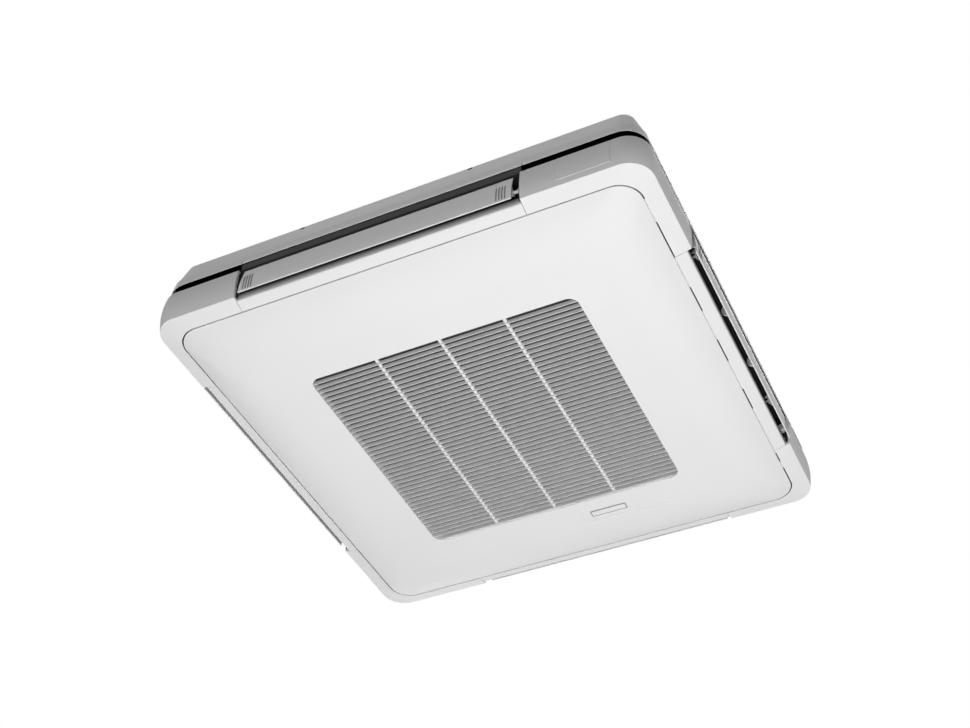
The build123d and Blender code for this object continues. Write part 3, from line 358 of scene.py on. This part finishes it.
def piece_from(shape, name, *materials):
    """Turn a bmesh into a piece with its materials and smooth shading."""
    mesh = bpy.data.meshes.new(name)
    for face in shape.faces:
        face.smooth = True
    shape.to_mesh(mesh)
    shape.free()
    for material in materials:
        mesh.materials.append(material)
    mesh.set_sharp_from_angle(angle=SHADING_ANGLE)
    piece = bpy.data.objects.new(name, mesh)
    scene.collection.objects.link(piece)
    flats = piece.modifiers.new("flats", "WEIGHTED_NORMAL")
    flats.keep_sharp = True
    return piece


def body_of(node):
    """The body that a CAD node rides on."""
    bodies = frame["record"]["behaviour"]["bodies"]
    return next(body for body, nodes in bodies.items() if node in nodes)


def stand_for(piece, node):
    """Make a piece ride on one CAD node's body, and hide that node."""
    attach(piece, body_of(node))
    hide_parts(node)
    return piece


def finished(node, name, material, slot, **shape):
    """Replace a CAD node by its rounded copy in one material."""
    return stand_for(piece_from(copy_of(node, **shape), name, material), node)


def coat(material, *nodes):
    """Give CAD nodes that keep their own mesh a material."""
    for node in nodes:
        frame["nodes"][node].data.materials.clear()
        frame["nodes"][node].data.materials.append(material)


WHITE = (0.86, 0.86, 0.857)
CORNERS = ("front_left", "front_right", "back_left", "back_right")
white_plastic = moulded("white_plastic", WHITE, 0.5)

for corner in CORNERS:
    finished(f"corner_cover_{corner}", f"cover_{corner}", white_plastic, "white_plastic")


# ------------------------------------------------------ pipe knock-out
# A plate in the front right cover that an installer cuts away for pipes led
# out sideways. It stands a little proud, so its rounded edge catches the light.

KNOCKOUT_PROUD = (0.0, -0.4, 0.0)

finished(
    "pipe_knockout",
    "knockout_plate",
    white_plastic,
    "white_plastic",
    soften=0.6,
    steps=3,
    shift=KNOCKOUT_PROUD,
)


# ---------------------------------------------------------- outlet lips
# One white moulding under each air outlet: the lower skin from the seam out to
# a rounded nose, and the duct floor behind it. Painted shade, near-black with a
# fibre bump, covers that floor and its posts and fades out down the nose's face.

QUARTERS = ("front", "right", "back", "left")
# near-black painted shade, laid by height on faces deep in the outlets
PAINTED_SHADE_COLOUR = (0.02, 0.02, 0.021)
FLOCK_ROUGH = 0.85
FLOCK_FIBRES = 1900.0
FLOCK_PILE = 0.00004
FLOCK_PILE_END = 0.15
LIP_SHADE_Z = (-147.0, -165.0)


def painted_shade_by_height(name, colour, full, end, rough, gloss=0.3):
    """Plastic with near-black painted shade, full at one height and gone at another, in
    mm.
    """
    shade_finish = Finish(name, Specular_IOR_Level=gloss)
    mask = ((shade_finish.axes()[2] - end * MM) / ((full - end) * MM)).clamped()
    fibre = shade_finish.noise(FLOCK_FIBRES, 2.0)
    return shade_finish.finish(
        Base_Color=shade_finish.tint(mask, colour, PAINTED_SHADE_COLOUR),
        Roughness=rough + mask * (FLOCK_ROUGH - rough) + (fibre - 0.5) * 0.1,
        Normal=shade_finish.relief(fibre * (mask + FLOCK_PILE_END), FLOCK_PILE),
    )


# painted shade on the lip: its floor and posts, fading out down the nose's face
lip_painted_shade = painted_shade_by_height("lip_plastic_painted_shade", WHITE, *LIP_SHADE_Z, 0.5)
for quarter in QUARTERS:
    finished(f"outlet_lip_{quarter}", f"lip_{quarter}", lip_painted_shade, "white_plastic")


# ---------------------------------------------------------------- flaps
# Four long curved blades in the same plastic with a finer grain, each hung by
# its arms on two pins. The faces in the grooves are grey, painted shade in them.

GROOVE_PLACES = (213.0, 218.4, 223.8, 229.2, 262.8, 268.2, 273.6, 279.0)
GROOVE_REACH = 1.2
GROOVE_OUT = 475.0
BLADE_EDGE_LENGTH = 60.0

flap_plastic = moulded("flap_plastic", WHITE, 0.4, depth=0.000003, gloss=0.5)
# grey painted shade for the faces in the grooves
groove_shade_grey = moulded("groove_shade_grey", (0.34, 0.34, 0.34), 0.7, gloss=0.2)


def in_groove(face):
    """Whether a blade's face lies within one groove."""
    corners = [sorted((abs(v.co.x) / MM, abs(v.co.y) / MM)) for v in face.verts]
    on_skin = all(out > GROOVE_OUT for along, out in corners)
    return on_skin and any(
        all(abs(along - place) < GROOVE_REACH for along, out in corners)
        for place in GROOVE_PLACES
    )


for quarter in QUARTERS:
    blade = copy_of(f"flap_{quarter}", shortest=BLADE_EDGE_LENGTH)
    for face in blade.faces:
        face.material_index = int(in_groove(face))
    blade = piece_from(blade, f"blade_{quarter}", flap_plastic, groove_shade_grey)
    stand_for(blade, f"flap_{quarter}")


# -------------------------------------------------------- suction panel
# The domed square cover under the whole unit, one moulding with a square hole
# for the grille. Two shallow fields are sunk beside the hole, one for the badge.

PANEL_LOW = -198.0
FIELD_DEPTH = 0.8
PAST_FACE = 3.0
FIELDS = (
    # x, y, width, depth, corner radius
    (96.5, 303.0, 113.0, 44.0, 6.0),
    (203.0, 305.0, 95.0, 50.0, 6.0),
)


def rounded_face(shape, x, y, width, depth, radius, z, steps):
    """A level face with round corners: a one-face grid with its corners bevelled."""
    size = Matrix.Diagonal((width / 2 * MM, depth / 2 * MM, 1, 1))
    spot = Matrix.Translation(Vector((x, y, z)) * MM) @ size
    made = bmesh.ops.create_grid(shape, x_segments=1, y_segments=1, size=1.0, matrix=spot)
    made = bmesh.ops.bevel(
        shape,
        geom=made["verts"],
        offset=radius * MM,
        offset_type="OFFSET",
        segments=steps,
        profile=0.5,
        affect="VERTICES",
        material=-1,
    )
    return made["verts"][0].link_faces[0]


def plate(shape, x, y, width, depth, radius, low, high, steps=5):
    """Add an upright plate with round corners between two heights, in mm."""
    bottom = rounded_face(shape, x, y, width, depth, radius, low, steps)
    upper = bmesh.ops.extrude_face_region(shape, geom=[bottom], use_keep_orig=True)
    raised = [v for v in upper["geom"] if isinstance(v, bmesh.types.BMVert)]
    bmesh.ops.translate(shape, verts=raised, vec=(0, 0, (high - low) * MM))


fields = bmesh.new()
for field in FIELDS:
    plate(fields, *field, PANEL_LOW - PAST_FACE, PANEL_LOW + FIELD_DEPTH)
bmesh.ops.recalc_face_normals(fields, faces=fields.faces)
finished("suction_panel", "panel_shell", white_plastic, "white_plastic", cutter=fields)

for side in ("left", "right"):
    finished(
        f"panel_latch_{side}", f"catch_{side}", white_plastic, "white_plastic", soften=0.5
    )


# --------------------------------------------------------- seam gasket
# A strip of pale foam tape stuck along the covers' and lips' inner edge, which
# fills the seam round the panel. On the right it lies in short, uneven lengths.

GASKET_OUT = (444.9, 44.9)
GASKET_Z = (-171.1, -169.0)
GASKET_END = 405.0
GASKET_MID = 444.0
GASKET_WIDTH = 1.8
GASKET_CORNER = 0.4
RING_STEPS = 12
GASKET_LENGTHS = (
    # along the right side
    (-396.0, -342.0),
    (-254.0, -178.0),
    (-114.0, -36.0),
    (26.0, 106.0),
    (166.0, 306.0),
    (334.0, 354.0),
)


def square_ring(shape, half, radius, wall, low, high):
    """Add an upright ring whose wall lies inside a rounded square, in mm."""
    inside = rounded_face(shape, 0.0, 0.0, 2 * half, 2 * half, radius, low, RING_STEPS)
    inset = bmesh.ops.inset_region(
        shape, faces=[inside], thickness=wall * MM, use_even_offset=True
    )
    bmesh.ops.delete(shape, geom=[inside], context="FACES_ONLY")
    upper = bmesh.ops.extrude_face_region(shape, geom=inset["faces"], use_keep_orig=True)
    raised = [v for v in upper["geom"] if isinstance(v, bmesh.types.BMVert)]
    bmesh.ops.translate(shape, verts=raised, vec=(0, 0, (high - low) * MM))
    loose = [e for e in shape.edges if e.is_wire]
    bmesh.ops.delete(shape, geom=loose, context="EDGES")


gasket_tape = moulded(
    "gasket_tape", (0.82, 0.82, 0.815), 0.8, grain=1500.0, depth=0.00003
)
gasket = bmesh.new()
square_ring(gasket, *GASKET_OUT, GASKET_WIDTH, *GASKET_Z)
cut = bmesh.ops.bisect_plane(
    gasket,
    geom=[*gasket.verts, *gasket.edges, *gasket.faces],
    plane_co=(GASKET_END * MM, 0, 0),
    plane_no=(1, 0, 0),
    clear_outer=True,
)
cut_ends = [e for e in cut["geom_cut"] if isinstance(e, bmesh.types.BMEdge)]
cut_ends = [e for e in cut_ends if e.is_boundary]
bmesh.ops.holes_fill(gasket, edges=cut_ends)
for start, end in GASKET_LENGTHS:
    place = (GASKET_MID, (start + end) / 2, GASKET_WIDTH, end - start)
    plate(gasket, *place, GASKET_CORNER, *GASKET_Z, steps=2)
bmesh.ops.recalc_face_normals(gasket, faces=gasket.faces)
tape = piece_from(gasket, "seam_gasket", gasket_tape)
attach(tape, "root")


# --------------------------------------------------------- intake grille
# One white moulding of 43 leaning slats with rounded tips, tied together by
# three ribs behind them and a thin frame that clips into the panel.

SLAT_COUNT = 43
SLAT_PITCH = 12.11
SLAT_SHIFT = 3.75
SLAT_TIP = 1.4
SLAT_LEAN = 1.7
SLAT_HEIGHT = 10.0
SLAT_TIP_ROUND = 0.5
SLAT_END_GAP = 0.3
GRILLE_FRAME_OUT = (263.0, 19.7)
GRILLE_FRAME_WALL = 0.9
GRILLE_FRAME_Z = (-191.5, -189.0)
RIB_X = (-126.8, 0.0, 126.8)
RIB_WIDTH = 6.0
RIB_END_GAP = 1.5
RIB_CORNER = 1.0
RIB_Z = (-194.0, -189.0)
END_BAR_Y = 261.9
END_BAR_WIDTH = 2.0
END_BAR_CORNER = 0.6
END_BAR_Z = (-195.5, -189.0)

grille_plastic = moulded("grille_plastic", (0.83, 0.83, 0.827), 0.52)
grille = bmesh.new()
half, corner = GRILLE_FRAME_OUT
for row in range(SLAT_COUNT):
    tip = (row - (SLAT_COUNT - 1) / 2) * SLAT_PITCH + SLAT_SHIFT
    outermost = max(abs(tip), abs(tip + SLAT_TIP + SLAT_LEAN))
    into_corner = max(0.0, outermost - (half - corner))
    reach = half - corner + math.sqrt(corner**2 - into_corner**2) - SLAT_END_GAP
    shear = Matrix(
        (
            (2 * reach, 0, 0, 0),
            (0, SLAT_TIP, SLAT_LEAN, tip + (SLAT_TIP + SLAT_LEAN) / 2),
            (0, 0, SLAT_HEIGHT, PANEL_LOW + SLAT_HEIGHT / 2),
            (0, 0, 0, 1 / MM),
        )
    )
    shear = Matrix([[value * MM for value in line] for line in shear])
    bmesh.ops.create_cube(grille, size=1.0, matrix=shear)
tips_z = (PANEL_LOW + SLAT_HEIGHT / 2) * MM
tips = [e for e in grille.edges if all(v.co.z < tips_z for v in e.verts)]
tips = [e for e in tips if e.calc_length() > SLAT_HEIGHT * MM]
round_edges(grille, tips, SLAT_TIP_ROUND, 3)
for rib_x in RIB_X:
    rib = (rib_x, 0.0, RIB_WIDTH, 2 * (half - RIB_END_GAP), RIB_CORNER)
    plate(grille, *rib, *RIB_Z, steps=2)
for bar_y in (-END_BAR_Y, END_BAR_Y):
    bar = (0.0, bar_y, 2 * (half - corner), END_BAR_WIDTH, END_BAR_CORNER)
    plate(grille, *bar, *END_BAR_Z, steps=2)
square_ring(grille, *GRILLE_FRAME_OUT, GRILLE_FRAME_WALL, *GRILLE_FRAME_Z)
bmesh.ops.recalc_face_normals(grille, faces=grille.faces)
slats = piece_from(grille, "slatted_grille", grille_plastic)
stand_for(slats, "intake_grille")


# ---------------------------------------------------------------- filter
# A washable long-life filter behind the grille: a black net of knitted
# filament moulded into a dark frame with cross bars.

NET_PITCH = 0.0016
THREAD_EDGE = 0.62
THREAD_DEPTH = 0.0002

net = Finish("filter_net")
net_x, net_y = net.axes()[:2]
strand_x = abs(net_x).triangle(NET_PITCH)
strand_y = abs(net_y).triangle(NET_PITCH)
thread = ((strand_x > THREAD_EDGE) + (strand_y > THREAD_EDGE)).clamped()
net_cloud = net.noise(9.0, 3.0)
filter_net = net.finish(
    Base_Color=net.tint(thread, (0.008, 0.008, 0.009), (0.035, 0.036, 0.04)),
    Roughness=0.75 + (net_cloud - 0.5) * 0.2,
    Normal=net.relief(strand_x + strand_y, THREAD_DEPTH),
)
filter_plastic = moulded("filter_plastic", (0.03, 0.031, 0.034), 0.55, depth=0.00002)
finished("filter_mesh", "net_sheet", filter_net, "filter_net", soften=0)
finished("filter_frame", "net_frame", filter_plastic, "filter_frame", soften=0.4)


# ----------------------------------------------------------------- badge
# A bare satin plate let into the first of the panel's fields, with a fine
# near-black line round it.

BADGE = (96.0, 307.0, 74.0, 16.0, 1.0)
BADGE_LINE = 1.3
BADGE_STEP = 0.03
BADGE_Z = (-197.98, -197.55)
INLAY_CORNER = 0.6

# the near-black line round the badge, where it meets its field
badge_dark_line = moulded("badge_dark_line", (0.015, 0.015, 0.016), 0.5)
badge_satin = moulded("badge_satin", (0.86, 0.86, 0.85), 0.3, grain=5200.0)
border = bmesh.new()
plate(border, *BADGE, BADGE_Z[0] + BADGE_STEP, BADGE_Z[1])
bmesh.ops.recalc_face_normals(border, faces=border.faces)
badge_border = piece_from(border, "badge_border", badge_dark_line)
stand_for(badge_border, "badge_plate")
x, y, width, depth = BADGE[:4]
inside_line = (x, y, width - 2 * BADGE_LINE, depth - 2 * BADGE_LINE, INLAY_CORNER)
inlay = bmesh.new()
plate(inlay, *inside_line, *BADGE_Z)
bmesh.ops.recalc_face_normals(inlay, faces=inlay.faces)
badge_inlay = piece_from(inlay, "badge_inlay", badge_satin)
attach(badge_inlay, "panel")


# ------------------------------------------------------------ top casing
# A pressed steel lid in two tiers, coated in off-white baked paint with a
# slight orange peel, and near-black painted shade inside. Pressed beads and
# screws are in its top.

BEAD_DEPTH = 0.6
BEAD_CORNER = 7.9
BEADS = (
    # x, y, length along x, width along y
    (0.0, 250.0, 460.0, 16.0),
    (0.0, -250.0, 460.0, 16.0),
    (-250.0, 0.0, 16.0, 400.0),
    (250.0, 0.0, 16.0, 400.0),
    (-360.0, 0.0, 16.0, 480.0),
    (360.0, 60.0, 16.0, 360.0),
)
SCREW_AT = (
    (-425.0, -425.0),
    (-425.0, 425.0),
    (425.0, 425.0),
    (-140.0, -425.0),
    (140.0, -425.0),
    (-140.0, 425.0),
    (140.0, 425.0),
    (-425.0, -140.0),
    (-425.0, 140.0),
    (425.0, -140.0),
    (425.0, 140.0),
)
UNDER_TOP_Z = -20.0
RIM_Z = -70.4
RIM_OUT = 455.0
RIM_ROUND = 0.9
LID_ROUND = 0.35
MOSTLY_LEVEL = 0.7
SCREW_SINK_R = 4.6
SCREW_SINK_CORNER = 4.55
SCREW_SINK_DEPTH = 0.7
PEEL_SCALE = 430.0
PEEL_DEPTH = 0.000012
STREAK_SCALE = 2.2
STREAK_STRETCH = (1, 1, 14)

paint = Finish("painted_steel")
peel = paint.noise(PEEL_SCALE, 1.5)
streak = paint.noise(STREAK_SCALE, 4.0, STREAK_STRETCH)
painted_steel = paint.finish(
    Base_Color=paint.tint(streak, (0.82, 0.825, 0.82), (0.88, 0.885, 0.88)),
    Roughness=0.4 + (peel - 0.5) * 0.1,
    Normal=paint.relief(peel, PEEL_DEPTH),
)
# near-black painted shade for the lid's inside and the corner shields, seen through the
# shadow gap
black_shade_coat = moulded(
    "black_shade_coat", (0.012, 0.012, 0.013), 0.8, grain=1800.0, depth=0.00002, gloss=0.05
)
beads = bmesh.new()
for bead in BEADS:
    plate(beads, *bead, BEAD_CORNER, -BEAD_DEPTH, PAST_FACE, steps=6)
for spot in SCREW_AT:
    sink = (*spot, 2 * SCREW_SINK_R, 2 * SCREW_SINK_R, SCREW_SINK_CORNER)
    plate(beads, *sink, -SCREW_SINK_DEPTH, PAST_FACE)
bmesh.ops.recalc_face_normals(beads, faces=beads.faces)
lid = copy_of("top_casing", soften=0, cutter=beads)
rim = [e for e in sharp_edges(lid) if all(v.co.z < RIM_Z * MM for v in e.verts)]
rim = [
    e for e in rim if all(max(abs(v.co.x), abs(v.co.y)) > RIM_OUT * MM for v in e.verts)
]
round_edges(lid, rim, RIM_ROUND, 4)
round_edges(lid, sharp_edges(lid), LID_ROUND, 2)
# faces inside the lid and under its top get the near-black painted shade
for face in lid.faces:
    spot = face.calc_center_median()
    inward = face.normal.xy.dot(spot.xy) < 0 and abs(face.normal.z) < MOSTLY_LEVEL
    under_top = face.normal.z < -MOSTLY_LEVEL and spot.z > UNDER_TOP_Z * MM
    face.material_index = int(inward or under_top)
stand_for(
    piece_from(lid, "lid", painted_steel, black_shade_coat), "top_casing"
)


# ---------------------------------------------------- ducts and shields
# Dark moulded duct ceilings with end plates stand behind each flap, near-black
# as painted shade below a set height. Sheet in near-black painted shade closes
# the four corners behind the shadow gap.

DUCT_SHADE_Z = (-88.0, -86.0)
DARK = (0.06, 0.061, 0.063)

# the duct's faces below a set height take near-black painted shade
duct_painted_shade = painted_shade_by_height("duct_plastic_painted_shade", DARK, *DUCT_SHADE_Z, 0.6, gloss=0.2)

for quarter in QUARTERS:
    finished(
        f"outlet_frame_{quarter}", f"duct_{quarter}", duct_painted_shade, "dark_duct", soften=0.4
    )
# the corner shields are near-black painted shade behind the shadow gap
coat(black_shade_coat, "corner_shields")


# ------------------------------------------------- foam liner and pan
# Expanded bead foam: a grey liner under the lid that keeps it from sweating,
# and the white tray under the coil that carries the condensate to the pump.

FOAM_DENT = 0.0002
FOAM_EDGE = 6.0
FOAM_SHADE = 0.86


def bead_foam(name, colour, bead):
    """Expanded beads of a size in metres, pressed flat where they touch."""
    foam = Finish(name)
    gap = foam.cells(1 / bead, feature="DISTANCE_TO_EDGE")
    shade = foam.cells(1 / bead, out="Color") * 0.25 + foam.noise(8.0, 3.0) * 0.5
    low = tuple(c * FOAM_SHADE for c in colour)
    return foam.finish(
        Base_Color=foam.tint(shade, low, colour),
        Roughness=0.85 + (shade - 0.4) * 0.1,
        Normal=foam.relief((gap * FOAM_EDGE).clamped(), FOAM_DENT),
    )


coat(bead_foam("liner_foam", (0.18, 0.18, 0.185), 0.004), "foam_liner")
pan_foam = bead_foam("pan_foam", (0.82, 0.82, 0.8), 0.0035)
finished("drain_pan", "foam_tray", pan_foam, "pan_foam", soften=1.5)


# -------------------------------------------------- metals of the chassis
# Hangers, box and coil plates are cut from galvanised sheet with a fine
# spangle. Brackets, nut and screws are plated, and the shaft is ground.

SCREW_MID_Z = -0.42
SCREW_HEIGHT = 0.5
SCREW_R = (4.2, 3.7)
ZINC_CLOUD_SCALE = 14.0
ZINC_RELIEF = 0.00004
SPANGLE_DARK = 0.72
SPANGLE_GLOSS = 0.14


def spangled(name, colour, rough, spangle, metal=1.0):
    """Zinc on steel: crystals that differ a little in tone and gloss."""
    zinc = Finish(name, Metallic=metal)
    crystal = zinc.cells(1 / spangle, out="Color") + 0.0
    cloud = zinc.noise(ZINC_CLOUD_SCALE, 3.0)
    low = tuple(c * SPANGLE_DARK for c in colour)
    return zinc.finish(
        Base_Color=zinc.tint(crystal * 0.7 + cloud * 0.3, low, colour),
        Roughness=rough + (crystal - 0.5) * SPANGLE_GLOSS,
        Normal=zinc.relief(cloud, ZINC_RELIEF),
    )


galvanised = spangled("galvanised", (0.62, 0.64, 0.66), 0.36, 0.011)
plated = spangled("plated_steel", (0.72, 0.71, 0.67), 0.3, 0.002)
ground_shaft = spangled("ground_shaft", (0.6, 0.6, 0.6), 0.2, 0.0012)

coat(galvanised, "hanger_brackets", "coil_end_plates", "control_box")
finished("control_box_lid", "box_lid", galvanised, "galvanised", soften=0.4)
finished("hinge_brackets", "panel_hinges", plated, "hinge_steel", soften=0.3)
finished("lid_screws", "box_screws", plated, "hinge_steel", soften=0.4)
finished("fan_nut", "shaft_nut", plated, "hinge_steel", soften=0.3)
finished("motor_shaft", "fan_shaft", ground_shaft, "shaft_steel", soften=0)

screw_heads = bmesh.new()
for x, y in SCREW_AT:
    bmesh.ops.create_cone(
        screw_heads,
        cap_ends=True,
        segments=24,
        radius1=SCREW_R[0] * MM,
        radius2=SCREW_R[1] * MM,
        depth=SCREW_HEIGHT * MM,
        matrix=Matrix.Translation(Vector((x, y, SCREW_MID_Z)) * MM),
    )
casing_screws = piece_from(screw_heads, "casing_screws", plated)
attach(casing_screws, "root")


# ------------------------------------------------------- motor and fan
# A cast aluminium fan motor hangs from the lid on rubber bushes and turns a
# grey glass-filled turbo fan. The bell mouth leads the air into its eye.

FLOW_SCALE = 46.0
FLOW_STRETCH = (1, 1, 4)
FLOW_RELIEF = 0.00006

alloy = spangled("cast_alloy", (0.5, 0.51, 0.52), 0.48, 0.0007, metal=0.9)
rubber = moulded("rubber", (0.02, 0.02, 0.021), 0.7, grain=1400.0, depth=0.00004)

swirl = Finish("fan_plastic")
flow = swirl.noise(FLOW_SCALE, 4.0, FLOW_STRETCH)
fan_plastic = swirl.finish(
    Base_Color=swirl.tint(flow, (0.16, 0.165, 0.17), (0.25, 0.255, 0.26)),
    Roughness=0.42 + (flow - 0.5) * 0.18,
    Normal=swirl.relief(flow, FLOW_RELIEF),
)
finished("fan_motor", "motor_can", alloy, "motor_alloy", soften=0.6)
finished("turbo_fan", "fan_wheel", fan_plastic, "fan_plastic", soften=0.6)
dark_plastic = moulded("dark_plastic", DARK, 0.6, depth=0.00002, gloss=0.25)
finished("bell_mouth", "air_inlet", dark_plastic, "dark_duct", soften=0.5)
coat(rubber, "motor_bushes")


# ------------------------------------------------------------------ coil
# Thin aluminium fins pressed on copper tubes, bent into a ring round the fan.
# The fins are stripes on the ring, upright and square to its run on each side;
# the dark of each stripe is painted shade between fins.

FIN_PITCH = 0.0032
ROW_PITCH = 0.02
ROW_EDGE = 0.88
FIN_DEPTH = 0.0006

fins = Finish("coil_fins", Metallic=0.85)
fin_x, fin_y, fin_z = fins.axes()
on_front = abs(fin_y) > abs(fin_x)
along = abs(fin_x * on_front + fin_y * (1 - on_front))
blade = along.triangle(FIN_PITCH)
row_line = (abs(fin_z).triangle(ROW_PITCH) > ROW_EDGE) + 0.0
# dark part of each stripe: painted shade between the fins
coil_fins = fins.finish(
    Base_Color=fins.tint(blade, (0.12, 0.12, 0.125), (0.66, 0.67, 0.68)),
    Roughness=0.34 + fins.noise(30.0) * 0.2,
    Normal=fins.relief(blade + row_line * 0.3, FIN_DEPTH),
)
coat(coil_fins, "heat_exchanger")


# ---------------------------------------------------- pipes and unions
# Copper pipes with a handled, slightly browned skin run from the coil to
# brass flare unions under the lid's pipe opening.

STAIN_SCALE = 38.0
STAIN_SPREAD = 1.6
STAIN_START = 0.35
DRAW_SCALE = 900.0
DRAW_DEPTH = 0.000006


def handled(name, bright, brown, rough):
    """Bare metal that has browned unevenly where it was touched."""
    metal = Finish(name, Metallic=1.0)
    stain = metal.noise(STAIN_SCALE, 5.0)
    draw = metal.noise(DRAW_SCALE, 2.0)
    browned = (stain * STAIN_SPREAD - STAIN_START).clamped()
    return metal.finish(
        Base_Color=metal.tint(browned, bright, brown),
        Roughness=rough + (stain - 0.5) * 0.3,
        Normal=metal.relief(draw, DRAW_DEPTH),
    )


copper = handled("copper", (0.8, 0.42, 0.27), (0.46, 0.22, 0.13), 0.3)
brass = handled("brass", (0.78, 0.6, 0.3), (0.5, 0.37, 0.17), 0.28)

finished("gas_pipe", "gas_tube", copper, "copper", soften=0)
finished("liquid_pipe", "liquid_tube", copper, "copper", soften=0)
finished("coil_bends", "hairpins", copper, "copper", soften=0)
finished("gas_union", "gas_flare", brass, "brass", soften=0.5)
finished("liquid_union", "liquid_flare", brass, "brass", soften=0.5)


# --------------------------------------------------------- drain parts
# The pump lifts condensate through a soft hose to the drain socket. A float
# on its stem stops the unit if the tray fills.

pump_plastic = moulded("pump_plastic", (0.09, 0.1, 0.13), 0.45)
hose_rubber = moulded("hose_rubber", (0.32, 0.33, 0.34), 0.5, grain=700.0, depth=0.00005)
socket_plastic = moulded("socket_plastic", (0.55, 0.56, 0.56), 0.4)

finished("drain_pump", "pump", pump_plastic, "pump_plastic", soften=0.8)
finished("float_stem", "stem", pump_plastic, "pump_plastic", soften=0.4)
finished("float_ring", "float_collar", fan_plastic, "fan_plastic", soften=1.0)
finished("drain_hose", "hose", hose_rubber, "hose", soften=0)
finished("drain_socket", "socket", socket_plastic, "socket_plastic", soften=0.8)


# ------------------------------------------------- control electronics
# A green board with its tracks under lacquer and a black terminal strip lie in
# the sheet box, and a rubber grommet in the lid lets the mains in. Small white
# stepper motors turn the flaps in acetal bushes.

TRACK_SCALE = 260.0
TRACK_GAP = 0.06
TRACK_HEIGHT = 0.00003

tracks = Finish("board_lacquer", Coat_Weight=0.6)
track = tracks.cells(TRACK_SCALE, feature="DISTANCE_TO_EDGE") > TRACK_GAP
board_lacquer = tracks.finish(
    Base_Color=tracks.tint(track, (0.05, 0.2, 0.08), (0.015, 0.09, 0.03)),
    Roughness=0.32 + tracks.noise(60.0) * 0.1,
    Normal=tracks.relief(track, TRACK_HEIGHT),
)
coat(board_lacquer, "circuit_board")
coat(moulded("terminal_plastic", (0.03, 0.03, 0.03), 0.4), "terminal_block")
finished("cable_grommet", "grommet", rubber, "rubber", soften=0.6)
stepper_white = moulded("stepper_white", (0.74, 0.74, 0.72), 0.42)
for quarter in QUARTERS:
    motor = (f"flap_motor_{quarter}", f"stepper_{quarter}")
    finished(*motor, stepper_white, "actuator", soften=0.5)
finished("flap_bushes", "pin_bushes", stepper_white, "bush", soften=0.2)
